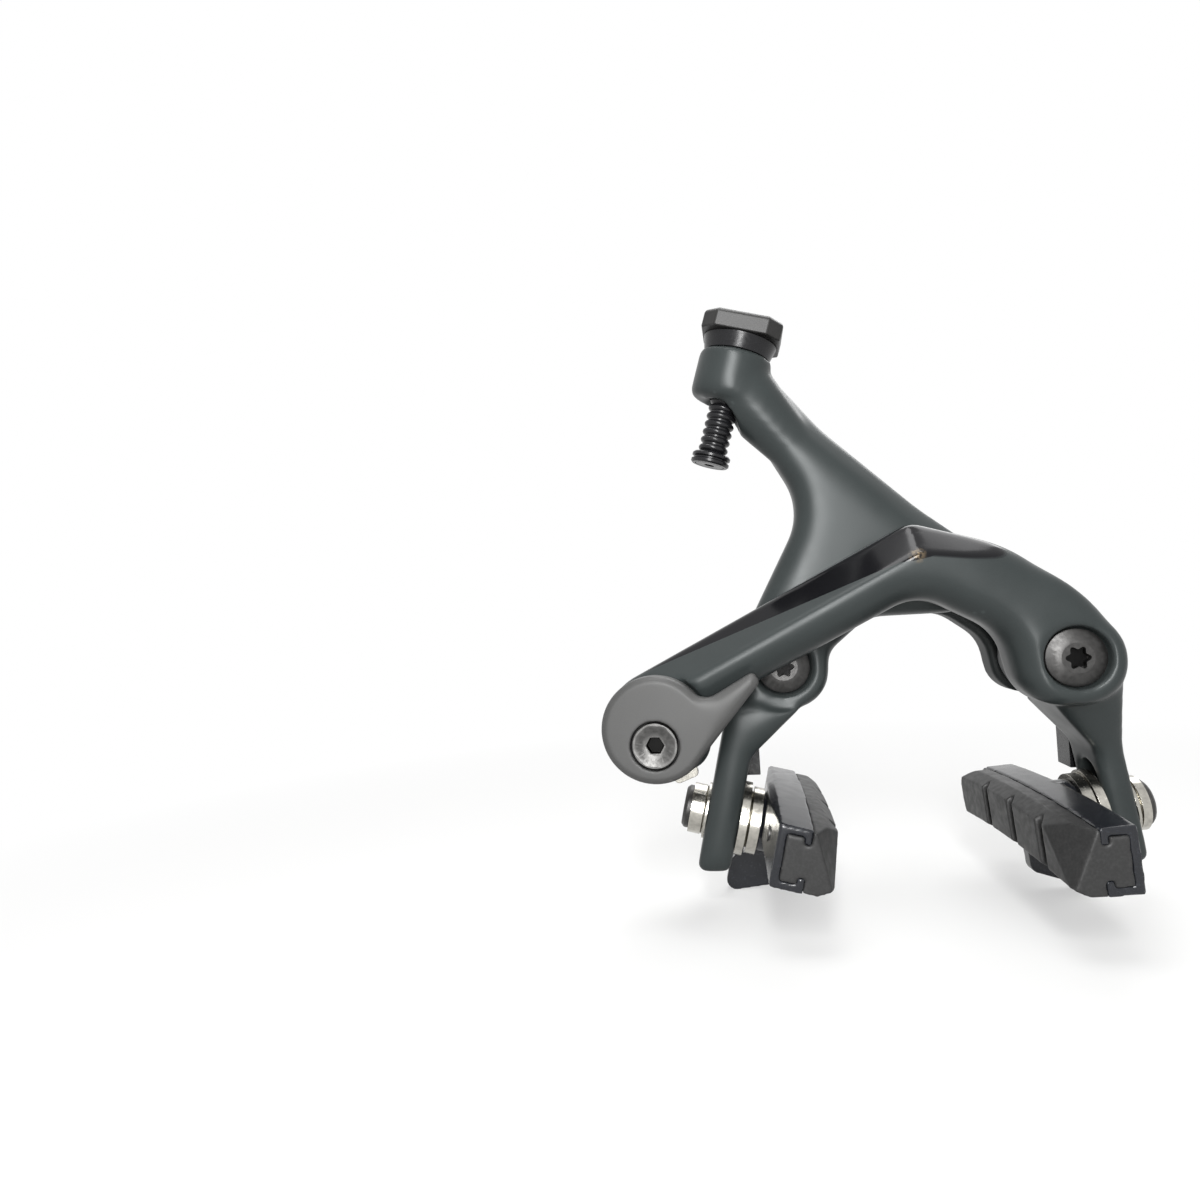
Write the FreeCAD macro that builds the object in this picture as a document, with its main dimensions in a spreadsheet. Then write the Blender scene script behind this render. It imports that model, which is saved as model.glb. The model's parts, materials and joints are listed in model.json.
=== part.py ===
import FreeCAD, Part
import Sketcher
import math
import os

os.makedirs("parts", exist_ok=True)

# Dual-pivot caliper brake, in millimetres. The origin is on the centre bolt axis in the plane where the
# serrated washer meets the bicycle frame: X to the viewer's right, Y towards the frame, Z up. The arms
# stand open, as they do without a cable.

# Sizes: one cell each, in millimetres and degrees
SIZES = (
    ("pivot_half_spacing", 24.0, "centre bolt sideways to each pivot"),
    ("pivot_drop", 16.5, "centre bolt down to both pivots"),
    ("closing_angle", 14.0, "turn of each arm from open to closed"),
    ("running_clearance", 0.03, "radial clearance of a shaft in a bush"),
    ("sliding_clearance", 0.05, "radial clearance of the roller, the barrel and the journal"),
    ("clearance_hole_gap", 0.2, "radial clearance of a bolt in a plain hole"),
    ("axial_play", 0.1, "play under the pivot bolt heads"),
    ("washer_thickness", 3.5, "serrated washer, front to back"),
    ("washer_radius", 8.0, "serrated washer"),
    ("notch_width", 1.1, "serration"),
    ("notch_depth", 0.7, "serration"),
    ("notch_start", 5.2, "serration, inner end from the axis"),
    ("bridge_thickness", 6.5, "bridge, front to back"),
    ("lug_radius", 7.5, "bridge round each pivot"),
    ("bridge_crown", 10.6, "top of the bridge above the centre bolt"),
    ("bridge_half_crown", 5.2, "half the top width of the bridge"),
    ("arch_drop", 7.9, "underside of the bridge below the centre bolt"),
    ("arch_half_width", 7.5, "half the flat top of the arch"),
    ("bridge_edge", 0.9, "rounding of the bridge"),
    ("centre_bolt_radius", 3.0, "centre bolt shank"),
    ("centre_neck_radius", 3.5, "centre bolt inside the bridge and the washer"),
    ("centre_head_radius", 5.0, "centre bolt head, sunk in the bridge"),
    ("centre_head_height", 3.2, "centre bolt head"),
    ("centre_head_sink", 0.3, "centre bolt head below the bridge face"),
    ("centre_bolt_reach", 18.0, "centre bolt beyond the washer"),
    ("bolt_chamfer", 0.6, "lead-in at the end of a bolt"),
    ("pivot_thread_radius", 2.5, "pivot bolt in the bridge"),
    ("pivot_shank_radius", 3.2, "pivot bolt in the bush"),
    ("pivot_head_radius", 5.0, "pivot bolt head"),
    ("pivot_head_rim", 1.0, "straight edge of the pivot bolt head"),
    ("pivot_head_dome", 0.9, "rise of the domed head"),
    ("pivot_head_flat", 3.0, "flat top of the domed head, radius"),
    ("star_socket_radius", 2.2, "driving recess of the pivot bolts"),
    ("star_socket_depth", 1.6, "driving recess of the pivot bolts"),
    ("head_recess_gap", 0.35, "radial gap round a sunk bolt head"),
    ("right_recess_depth", 2.5, "sunk seat of the right pivot bolt"),
    ("left_recess_depth", 2.4, "sunk seat of the left pivot bolt"),
    ("bush_radius", 4.2, "pivot bush, outside"),
    ("thrust_washer_thickness", 0.8, "washer between arm and bridge"),
    ("thrust_washer_radius", 7.0, "washer between arm and bridge"),
    ("arm_gap", 0.4, "between the two arms"),
    ("rear_arm_thickness", 8.0, "rear arm, front to back"),
    ("front_arm_thickness", 10.0, "front arm, front to back"),
    ("boss_radius", 8.2, "arms round each pivot"),
    ("arm_edge", 2.2, "rounding of the arms at the front"),
    ("bar_under_edge", 5.4, "rounding under the bar of the front arm"),
    ("shoulder_edge", 3.2, "rounding of the front arm outside the arch"),
    ("rear_under_edge", 3.8, "rounding of the rear arm between the left pivot and the adjuster"),
    ("arm_back_edge", 0.9, "rounding of the arms at the back"),
    ("clamp_reach", 48.0, "centre bolt sideways to the quick-release axis"),
    ("clamp_drop", 25.9, "centre bolt down to the quick-release axis"),
    ("clamp_end_radius", 10.0, "front arm round the quick-release axis"),
    ("bar_slope", 26.4, "slope of the straight bar of the front arm"),
    ("bar_width", 11.8, "bar of the front arm, across"),
    ("crown_height", 9.0, "crown of the front arm above the centre bolt"),
    ("crown_rounding", 4.0, "crown corner"),
    ("panel_depth", 7.0, "sloping top panel, front to back"),
    ("panel_height", 5.4, "sloping top panel at the crown, top to ridge"),
    ("panel_fade", 8.3, "slope of the ridge to the right of the crown"),
    ("shoulder_out", 27.0, "shoulder of the front arm, sideways"),
    ("shoulder_drop", 6.2, "shoulder of the front arm, down"),
    ("shoulder_bulge", 2.6, "swell of the front arm between crown and shoulder"),
    ("leg_front", 20.5, "front of the legs before the frame plane"),
    ("leg_back", 7.0, "back of the legs before the frame plane"),
    ("right_leg_thickness", 4.8, "right leg, sideways"),
    ("left_leg_thickness", 6.2, "left leg, sideways"),
    ("right_leg_end_drop", 53.6, "lower end of the right leg below the centre bolt"),
    ("left_leg_end_drop", 55.2, "lower end of the left leg below the centre bolt"),
    ("leg_edge", 1.2, "rounding down the legs"),
    ("leg_end_rounding", 1.3, "lower corners of the legs"),
    ("leg_neck_drop", 33.5, "where the legs become straight"),
    ("right_leg_lean", 8.6, "outward lean of the right leg"),
    ("left_leg_lean", 13.6, "outward lean of the left leg"),
    ("right_shoe_out", 33.1, "centre bolt sideways to the middle of the right leg at the shoe bolt"),
    ("left_shoe_out", 37.23, "centre bolt sideways to the middle of the left leg at the shoe bolt"),
    ("right_shoe_drop", 44.9, "centre bolt down to the right shoe bolt"),
    ("left_shoe_drop", 45.3, "centre bolt down to the left shoe bolt"),
    ("right_shoe_lift", 0.0, "right holder above its shoe bolt"),
    ("left_shoe_lift", 2.675, "left holder above its shoe bolt"),
    ("slot_high", 39.0, "centre bolt down to the highest place of the shoe bolts"),
    ("slot_low", 49.4, "centre bolt down to the lowest place of the shoe bolts"),
    ("slot_radius", 3.2, "half the width of the shoe bolt slot"),
    ("adjuster_lean", 17.5, "lean of the adjuster to the right at its top"),
    ("adjuster_out", 32.0, "centre bolt sideways to the lower end of the adjuster boss"),
    ("adjuster_rise", 36.0, "lower end of the adjuster boss above the centre bolt"),
    ("adjuster_boss_radius", 7.2, "adjuster boss"),
    ("adjuster_boss_height", 9.4, "adjuster boss"),
    ("adjuster_boss_edge", 1.5, "rounding of the lower edge of the adjuster boss"),
    ("tail_reach", 15.5, "tail of the rear arm to the right of the centre bolt"),
    ("tail_rise", 2.6, "tail of the rear arm above the centre bolt"),
    ("rear_sag", 4.0, "hollow of the upper edge of the rear arm"),
    ("waist_out", 18.2, "waist of the rear arm, sideways"),
    ("waist_rise", 13.8, "waist of the rear arm, up"),
    ("arm_neck_out", 25.5, "rear arm below the adjuster, sideways"),
    ("arm_neck_rise", 27.5, "rear arm below the adjuster, up"),
    ("rear_chamfer", 4.2, "bevel along the upper edge of the rear arm"),
    ("link_start", 4.0, "link pin left of the centre bolt when open"),
    ("link_rise", 0.4, "link pin above the centre bolt"),
    ("link_pin_radius", 1.5, "link pin"),
    ("link_pin_grip", 5.0, "link pin in the front arm"),
    ("roller_radius", 2.5, "link roller"),
    ("roller_play", 0.5, "link roller to the faces on either side"),
    ("wire_radius", 0.8, "return spring"),
    ("spring_end_out", 31.2, "spring ends, sideways"),
    ("spring_end_drop", 36.0, "spring ends, down"),
    ("spring_end_length", 6.0, "straight ends of the spring"),
    ("spring_washer_gap", 0.5, "spring to the serrated washer"),
    ("seat_drop", 34.6, "centre bolt down to the middle of a spring seat"),
    ("seat_cheek", 0.7, "spring seat inside the spring"),
    ("seat_slot_gap", 0.3, "spring to the cheek of its seat"),
    ("seat_wall", 2.2, "spring seat outside the spring"),
    ("seat_height", 9.2, "spring seat"),
    ("seat_clear", 0.8, "spring seat to the frame plane"),
    ("centring_radius", 1.5, "centring screw"),
    ("centring_head_radius", 2.2, "centring screw head"),
    ("centring_head_height", 1.8, "centring screw head"),
    ("centring_tip", 0.7, "centring screw beyond its seat"),
    ("centring_thread_gap", 0.02, "radial clearance of the centring screw"),
    ("lever_radius", 9.7, "quick-release disc"),
    ("lever_thickness", 5.2, "quick-release lever"),
    ("lever_sunk", 2.0, "quick-release disc in the arm"),
    ("lever_gap", 0.4, "quick-release disc to the arm"),
    ("lever_length", 20.6, "quick-release axis to the lever tip"),
    ("lever_angle", 28.4, "quick-release lever above level"),
    ("lever_edge", 1.2, "rounding of the quick-release lever"),
    ("journal_radius", 5.6, "quick-release journal in the arm"),
    ("clamp_offset", 2.7, "cable clamp bolt off the quick-release axis"),
    ("clamp_bolt_radius", 2.5, "cable clamp bolt shank"),
    ("clamp_head_radius", 4.1, "cable clamp bolt head"),
    ("clamp_head_height", 2.4, "cable clamp bolt head"),
    ("clamp_head_rim", 0.5, "raised rim of the cable clamp bolt head"),
    ("clamp_head_dish", 0.7, "hollow of the cable clamp bolt head"),
    ("clamp_socket_radius", 1.6, "key socket of the cable clamp bolt"),
    ("clamp_socket_depth", 1.5, "key socket of the cable clamp bolt"),
    ("clamp_plate_thickness", 1.8, "cable clamp plate"),
    ("clamp_plate_radius", 6.0, "cable clamp plate"),
    ("clamp_tab_length", 12.4, "cable clamp plate tab from the quick-release axis"),
    ("clamp_tab_angle", 68.0, "cable clamp plate tab below level"),
    ("clamp_tab_width", 5.0, "cable clamp plate tab"),
    ("barrel_radius", 3.1, "adjuster barrel"),
    ("barrel_drop", 12.6, "adjuster barrel below its boss"),
    ("barrel_top_inset", 0.6, "adjuster barrel below the top of the knob"),
    ("barrel_ring_radius", 3.8, "end ring of the barrel"),
    ("barrel_ring_height", 2.2, "end ring of the barrel"),
    ("cable_bore_radius", 1.0, "cable passage"),
    ("housing_radius", 2.3, "socket for the cable housing"),
    ("housing_depth", 10.0, "socket for the cable housing"),
    ("collar_height", 3.0, "collar under the adjuster knob"),
    ("collar_foot_radius", 6.5, "collar under the adjuster knob, foot"),
    ("collar_neck_radius", 7.3, "collar under the adjuster knob, top"),
    ("knob_half_width", 7.7, "adjuster knob, half across the flats"),
    ("knob_corner", 2.6, "adjuster knob corners"),
    ("knob_height", 3.7, "adjuster knob"),
    ("knob_edge", 0.7, "bevel round the top of the adjuster knob"),
    ("rim_radius", 311.0, "braking circle of the wheel, which the shoes follow"),
    ("shoe_length", 53.0, "shoe along the rim"),
    ("shoe_depth", 10.5, "pad face to the back of the holder"),
    ("shoe_half_height", 5.4, "holder, half its height"),
    ("pad_exposed", 5.0, "rubber in front of the holder"),
    ("pad_half_height", 5.2, "rubber, half its height"),
    ("pad_bevel", 2.6, "bevelled edge of the rubber, depth"),
    ("pad_face_half_height", 3.7, "face of the rubber, half its height"),
    ("pad_step", 0.6, "rubber left in front of the holder at the slanting corner"),
    ("pad_step_length", 9.0, "slanting corner of the rubber at the open end, along the rim"),
    ("pad_groove_width", 2.6, "water groove across the rubber"),
    ("pad_groove_depth", 1.8, "water groove across the rubber"),
    ("pad_groove_spacing", 12.4, "water grooves apart along the rim"),
    ("pad_groove_shift", 2.5, "middle groove from the shoe bolt, towards the open end"),
    ("holder_wall", 1.4, "holder wall"),
    ("holder_lip", 1.2, "holder lip over the rubber"),
    ("holder_end", 2.6, "closed end of the holder"),
    ("holder_boss_radius", 5.6, "threaded boss at the back of the holder"),
    ("holder_boss_height", 0.5, "threaded boss at the back of the holder"),
    ("holder_bulge", 1.2, "swell of the holder's back round its boss"),
    ("holder_end_rounding", 4.4, "closed end of the holder and the rubber, seen from the rim"),
    ("fin_out", 5.4, "guide fin beyond the back of the holder"),
    ("right_fin_drop", 17.4, "right guide fin below the shoe bolt"),
    ("left_fin_drop", 20.6, "left guide fin below the shoe bolt"),
    ("fin_slant", 22.0, "slope of the guide fin's foot, rising towards the rim"),
    ("fin_thickness", 3.0, "guide fin along the rim"),
    ("right_shoe_tilt", 5.0, "right shoe, lower edge outwards"),
    ("left_shoe_tilt", 13.6, "left shoe, lower edge outwards"),
    ("right_shoe_toe", 3.0, "right shoe, far end inwards"),
    ("left_shoe_toe", 0.0, "left shoe, far end inwards"),
    ("right_stack", 4.1, "washers between the right leg and its holder boss"),
    ("left_stack", 3.9, "washers between the left leg and its holder boss"),
    ("right_outer_stack", 2.4, "washers between the right leg and its shoe bolt head"),
    ("left_outer_stack", 3.3, "washers between the left leg and its shoe bolt head"),
    ("inner_convex_radius", 6.2, "convex washer at the holder's side of a leg"),
    ("inner_concave_radius", 5.3, "hollow of the concave washer at the holder's side of a leg"),
    ("inner_cup_radius", 6.5, "concave washer at the holder's side of a leg"),
    ("inner_convex_rim", 0.9, "straight edge of the inner dome"),
    ("inner_flange_radius", 7.2, "flange of the inner convex washer"),
    ("inner_flange", 1.5, "thickness of the inner flange"),
    ("outer_convex_radius", 5.0, "convex washer at the bolt head's side of a leg"),
    ("outer_concave_radius", 4.6, "hollow of the concave washer at the bolt head's side of a leg"),
    ("outer_cup_radius", 4.9, "concave washer at the bolt head's side of a leg"),
    ("outer_convex_rim", 0.3, "straight edge of the outer dome"),
    ("outer_flange_radius", 5.5, "flange of the outer convex washer"),
    ("outer_flange", 0.45, "thickness of the outer flange"),
    ("washer_bore_radius", 3.6, "bore of the shoe washers"),
    ("shoe_bolt_radius", 2.9, "shoe bolt shank"),
    ("shoe_head_radius", 4.2, "shoe bolt head"),
    ("shoe_head_height", 1.4, "shoe bolt head"),
    ("shoe_socket_radius", 2.2, "key socket of the shoe bolts"),
    ("shoe_socket_depth", 1.1, "key socket of the shoe bolts"),
    ("pad_screw_radius", 1.2, "pad screw"),
    ("pad_screw_length", 2.2, "pad screw"),
    ("pad_screw_along", 16.0, "pad screw from the shoe bolt, towards the open end"),
)

doc = FreeCAD.newDocument("caliper_brake")
sheet = doc.addObject("Spreadsheet::Sheet", "sizes")
for row, (alias, number, meaning) in enumerate(SIZES, start=1):
    sheet.set("A%d" % row, meaning)
    sheet.set("B%d" % row, str(number))
    sheet.setAlias("B%d" % row, alias)
doc.recompute()

V = FreeCAD.Vector
ALONG_X = V(1, 0, 0)
ALONG_Y = V(0, 1, 0)
ALONG_Z = V(0, 0, 1)
TO_VIEWER = V(0, -1, 0)
NODES = []

# How far a cutter runs past the face that it cuts
PAST = 1.0


def size(alias):
    """The number in one cell of the sheet."""
    return float(sheet.get(alias))


def total(text):
    """The number that a sum of cells stands for, such as 'boss_radius + arm_gap'."""
    result = 0.0
    sign = 1.0
    for word in text.split():
        if word == "+":
            sign = 1.0
        elif word == "-":
            sign = -1.0
        elif word != "0":
            result += sign * size(word)
    return result


def formula(text):
    """The same sum written as an expression on the sheet."""
    return " ".join(word if word in ("+", "-") else "sizes." + word for word in text.split())


def node(item):
    """Counts an object among the pieces that are written out."""
    NODES.append(item)
    return item


def put(item, base, axis=ALONG_Z):
    """Moves an object to base with its own Z axis along axis."""
    item.Placement = FreeCAD.Placement(base, FreeCAD.Rotation(ALONG_Z, axis))
    return item


def made(name, shape):
    """A piece whose shape is worked out below from the sheet."""
    item = doc.addObject("Part::Feature", name)
    item.Shape = shape
    return node(item)


def origin_plane(body, role):
    """One of a body's own origin planes."""
    return next(feature for feature in body.Origin.OriginFeatures if feature.Role == role)


def profile_sketch(body, name, plane, corners):
    """A closed sketch of straight sides; each corner is a pair of sums of cells."""
    sketch = body.newObject("Sketcher::SketchObject", name)
    sketch.AttachmentSupport = [(origin_plane(body, plane), "")]
    sketch.MapMode = "FlatFace"
    spots = [V(total(across), total(up), 0) for across, up in corners]
    for number, spot in enumerate(spots):
        sketch.addGeometry(Part.LineSegment(spot, spots[(number + 1) % len(spots)]), False)
    for number in range(len(corners)):
        following = (number + 1) % len(corners)
        sketch.addConstraint(Sketcher.Constraint("Coincident", number, 2, following, 1))
    for number, (across, up) in enumerate(corners):
        for kind, text, axis, start in (("DistanceX", across, -2, spots[number].x),
                                        ("DistanceY", up, -1, spots[number].y)):
            if text == "0":
                sketch.addConstraint(Sketcher.Constraint("PointOnObject", number, 1, axis))
            else:
                index = sketch.addConstraint(Sketcher.Constraint(kind, -1, 1, number, 1, start))
                sketch.setExpression("Constraints[%d]" % index, formula(text))
    return sketch


def turned(name, corners):
    """A body turned about its own Z axis from (radius, height) corners."""
    body = doc.addObject("PartDesign::Body", name)
    sketch = profile_sketch(body, name + "_profile", "XZ_Plane", corners)
    turn = body.newObject("PartDesign::Revolution", name + "_turn")
    turn.Profile = sketch
    turn.ReferenceAxis = (sketch, ["V_Axis"])
    turn.Angle = 360.0
    doc.recompute()
    return node(body)


def ring(name, inner, outer, height):
    """A plain ring standing on its own XY plane."""
    return turned(name, ((inner, "0"), (outer, "0"), (outer, height), (inner, height)))


def socket(body, radius, top, depth):
    """Sinks a six-sided key socket into the top of a turned body."""
    sketch = body.newObject("Sketcher::SketchObject", body.Name + "_socket_outline")
    sketch.AttachmentSupport = [(origin_plane(body, "XY_Plane"), "")]
    sketch.MapMode = "FlatFace"
    sketch.setExpression("AttachmentOffset.Base.z", formula(top))
    reach = size(radius)
    spots = [V(reach * math.cos(math.radians(60 * k)), reach * math.sin(math.radians(60 * k)), 0)
             for k in range(6)]
    for k in range(6):
        sketch.addGeometry(Part.LineSegment(spots[k], spots[(k + 1) % 6]), False)
    guide = sketch.addGeometry(Part.Circle(V(0, 0, 0), ALONG_Z, reach), True)
    sketch.addConstraint(Sketcher.Constraint("Coincident", guide, 3, -1, 1))
    index = sketch.addConstraint(Sketcher.Constraint("Radius", guide, reach))
    sketch.setExpression("Constraints[%d]" % index, formula(radius))
    for k in range(6):
        sketch.addConstraint(Sketcher.Constraint("Coincident", k, 2, (k + 1) % 6, 1))
        sketch.addConstraint(Sketcher.Constraint("PointOnObject", k, 1, guide))
    for k in range(1, 6):
        sketch.addConstraint(Sketcher.Constraint("Equal", 0, k))
    sketch.addConstraint(Sketcher.Constraint("PointOnObject", 0, 1, -1))
    pocket = body.newObject("PartDesign::Pocket", body.Name + "_socket")
    pocket.Profile = sketch
    pocket.setExpression("Length", formula(depth))
    doc.recompute()
    return body


def rounded_path(corners, closed):
    """Edges through corners (point, radius) with a tangent arc at each corner that has a radius.

    Two arcs that meet on a side too short for both shrink until they fit.
    """
    count = len(corners)
    turns = []
    for number, (point, radius) in enumerate(corners):
        inward = (point - corners[number - 1][0]).normalize()
        onward = (corners[(number + 1) % count][0] - point).normalize()
        rounded = radius > 0 and (closed or 0 < number < count - 1)
        turns.append((inward, onward, inward.getAngle(onward), radius if rounded else 0.0))
    setbacks = [radius * math.tan(turn / 2) for inward, onward, turn, radius in turns]
    shares = [1.0] * count
    for number in range(count):
        following = (number + 1) % count
        side = corners[number][0].distanceToPoint(corners[following][0])
        wanted = setbacks[number] + setbacks[following]
        if wanted > side:
            shares[number] = min(shares[number], side / wanted)
            shares[following] = min(shares[following], side / wanted)
    cuts = []
    for number, (inward, onward, turn, radius) in enumerate(turns):
        point = corners[number][0]
        radius = radius * shares[number]
        setback = setbacks[number] * shares[number]
        if radius == 0:
            cuts.append((point, None, point))
            continue
        towards = (onward - inward).normalize()
        middle = point + towards * (radius / math.cos(turn / 2) - radius)
        cuts.append((point - inward * setback, middle, point + onward * setback))
    edges = []
    for number, (start, middle, end) in enumerate(cuts):
        if middle is not None:
            edges.append(Part.Arc(start, middle, end).toShape())
        if closed or number < count - 1:
            following = cuts[(number + 1) % count][0]
            if end.distanceToPoint(following) > 1e-4:
                edges.append(Part.makeLine(end, following))
    return Part.Wire(edges)


def outline(corners):
    """A face inside a closed rounded path."""
    return Part.Face(rounded_path(corners, True))


def slab(corners, front, back):
    """A solid with an outline drawn in the XZ plane, from front to back along Y."""
    face = outline([(V(point.x, front, point.z), radius) for point, radius in corners])
    return face.extrude(V(0, back - front, 0))


def edges_at(shape, depth):
    """The edges of a slab that lie in the plane Y = depth."""
    return [edge for edge in shape.Edges
            if all(abs(vertex.Y - depth) < 1e-5 for vertex in edge.Vertexes)]


def beyond(point, first, second, outward):
    """A block filling the outer side of the plane through point along first and second."""
    thickness = size("clamp_reach")
    reach = thickness * 2
    first = first.normalize()
    normal = first.cross(second).normalize()
    if normal.dot(outward) < 0:
        normal = normal * -1
    across = normal.cross(first)
    corners = []
    for u, v in ((-1, -1), (1, -1), (1, 1), (-1, 1)):
        corners.append(point + first * (reach * u) + across * (reach * v))
    return Part.Face(Part.makePolygon(corners + corners[:1])).extrude(normal * thickness)


def rounded_front(name, shape, depth, radius_at):
    """A slab with its edges in the plane Y = depth rounded by a radius that changes from point to point."""
    blank = doc.addObject("Part::Feature", name + "_blank")
    blank.Shape = shape
    rounding = doc.addObject("Part::Fillet", name + "_rounding")
    rounding.Base = blank
    picked = [edge.hashCode() for edge in edges_at(blank.Shape, depth)]
    rounding.Edges = [
        (number, radius_at(edge.firstVertex().Point), radius_at(edge.lastVertex().Point))
        for number, edge in enumerate(blank.Shape.Edges, start=1) if edge.hashCode() in picked
    ]
    doc.recompute()
    return rounding.Shape


def rod(start, end, radius):
    """A cylinder between two points."""
    axis = end - start
    return Part.makeCylinder(radius, axis.Length, start, axis)


# Depths of the layers along Y, from the frame plane to the viewer
bridge_back = -size("washer_thickness")
bridge_front = bridge_back - size("bridge_thickness")
rear_back = bridge_front - size("thrust_washer_thickness")
rear_front = rear_back - size("rear_arm_thickness")
front_back = rear_front - size("arm_gap")
front_front = front_back - size("front_arm_thickness")
leg_middle = -(size("leg_front") + size("leg_back")) / 2

right_pivot = V(size("pivot_half_spacing"), 0, -size("pivot_drop"))
left_pivot = V(-size("pivot_half_spacing"), 0, -size("pivot_drop"))
clamp_axis = V(-size("clamp_reach"), 0, -size("clamp_drop"))


def at_depth(point, depth):
    """The same place in the front view, at another depth."""
    return V(point.x, depth, point.z)


def post(place, front, back, radius):
    """A cylinder along Y between two depths, at a place of the front view."""
    return rod(at_depth(place, front), at_depth(place, back), radius)


# Bridge, centre bolt and serrated washer
lug = size("lug_radius")
right_half = [
    (V(right_pivot.x - lug, 0, right_pivot.z - lug), lug * 0.8),
    (V(right_pivot.x + lug, 0, right_pivot.z - lug), lug),
    (V(right_pivot.x + lug, 0, right_pivot.z + lug * 0.75), lug * 0.9),
    (V(size("bridge_half_crown"), 0, size("bridge_crown")), lug * 0.8),
]
left_half = [(V(-point.x, 0, point.z), radius) for point, radius in reversed(right_half)]
arch_half = size("arch_half_width")
arch = [
    (V(-(arch_half + right_pivot.x - lug) * 0.61, 0, -(size("arch_drop") + size("pivot_drop")) * 0.55), lug),
    (V(-arch_half, 0, -size("arch_drop")), lug),
    (V(arch_half, 0, -size("arch_drop")), lug),
    (V((arch_half + right_pivot.x - lug) * 0.61, 0, -(size("arch_drop") + size("pivot_drop")) * 0.55), lug),
]
bridge = slab(right_half + left_half + arch, bridge_front, bridge_back)
bridge_edges = edges_at(bridge, bridge_front) + edges_at(bridge, bridge_back)
bridge = bridge.makeFillet(size("bridge_edge"), bridge_edges)
head_floor = bridge_front + size("centre_head_sink") + size("centre_head_height")
bridge = bridge.cut([
    rod(V(0, bridge_front, 0), V(0, head_floor, 0), size("centre_head_radius")),
    rod(V(0, bridge_front, 0), V(0, bridge_back, 0), size("centre_neck_radius")),
    post(right_pivot, bridge_front, bridge_back, size("pivot_thread_radius")),
    post(left_pivot, bridge_front, bridge_back, size("pivot_thread_radius")),
])
made("bridge", bridge)

bolt_neck = "bridge_thickness + washer_thickness - centre_head_sink"
bolt_end = bolt_neck + " + centre_bolt_reach"
put(turned("centre_bolt", (
    ("0", "0"),
    ("centre_head_radius", "0"),
    ("centre_head_radius", "centre_head_height"),
    ("centre_neck_radius", "centre_head_height"),
    ("centre_neck_radius", bolt_neck),
    ("centre_bolt_radius", bolt_neck),
    ("centre_bolt_radius", bolt_end + " - bolt_chamfer"),
    ("centre_bolt_radius - bolt_chamfer", bolt_end),
    ("0", bolt_end),
)), V(0, bridge_front + size("centre_head_sink"), 0), ALONG_Y)

washer = ring("serrated_washer", "centre_neck_radius + clearance_hole_gap", "washer_radius",
              "washer_thickness")
notch_outline = profile_sketch(washer, "serrated_washer_notch_outline", "XY_Plane", (
    ("notch_start", "0"),
    ("washer_radius + notch_width", "0"),
    ("washer_radius + notch_width", "notch_width"),
    ("notch_start", "notch_width"),
))
notch = washer.newObject("PartDesign::Pocket", "serrated_washer_notch")
notch.Profile = notch_outline
notch.setExpression("Length", "sizes.notch_depth")
notch.Reversed = True
doc.recompute()
notches = washer.newObject("PartDesign::PolarPattern", "serrated_washer_notches")
notches.Originals = [notch]
notches.Axis = (notch_outline, ["N_Axis"])
notches.Angle = 360.0
washer.Tip = notches
notches.Occurrences = 20
doc.recompute()
put(washer, V(0, 0, 0), TO_VIEWER)

# Pivot bolts, bushes and thrust washers
right_seat = "rear_arm_thickness + arm_gap + front_arm_thickness - right_recess_depth"
left_seat = "rear_arm_thickness - left_recess_depth"
for side, pivot, seat in (("right", right_pivot, right_seat), ("left", left_pivot, left_seat)):
    neck = "bridge_thickness + thrust_washer_thickness + " + seat + " + axial_play"
    bolt = turned(side + "_pivot_bolt", (
        ("0", "0"),
        ("pivot_thread_radius", "0"),
        ("pivot_thread_radius", "bridge_thickness"),
        ("pivot_shank_radius", "bridge_thickness"),
        ("pivot_shank_radius", neck),
        ("pivot_head_radius", neck),
        ("pivot_head_radius", neck + " + pivot_head_rim"),
        ("pivot_head_flat", neck + " + pivot_head_rim + pivot_head_dome"),
        ("0", neck + " + pivot_head_rim + pivot_head_dome"),
    ))
    socket(bolt, "star_socket_radius", neck + " + pivot_head_rim + pivot_head_dome", "star_socket_depth")
    put(bolt, at_depth(pivot, bridge_back), TO_VIEWER)
    bush = ring(side + "_pivot_bush", "pivot_shank_radius + running_clearance", "bush_radius", seat)
    put(bush, at_depth(pivot, rear_back), TO_VIEWER)
    thrust = ring(side + "_thrust_washer", "pivot_shank_radius + clearance_hole_gap", "thrust_washer_radius",
                  "thrust_washer_thickness")
    put(thrust, at_depth(pivot, bridge_front), TO_VIEWER)


# Legs of the arms
def side_name(side):
    """The word for a side."""
    return "right" if side > 0 else "left"


def half_leg(side):
    """Half the thickness of a leg."""
    return size(side_name(side) + "_leg_thickness") / 2


def leg_spot(side, drop, offset):
    """A point of a leg in the front view: offset is across the leg, positive outwards."""
    lean = math.radians(size(side_name(side) + "_leg_lean"))
    below_bolt = drop - size(side_name(side) + "_shoe_drop")
    out = size(side_name(side) + "_shoe_out") + below_bolt * math.tan(lean) + offset / math.cos(lean)
    return V(side * out, 0, -drop)


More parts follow.
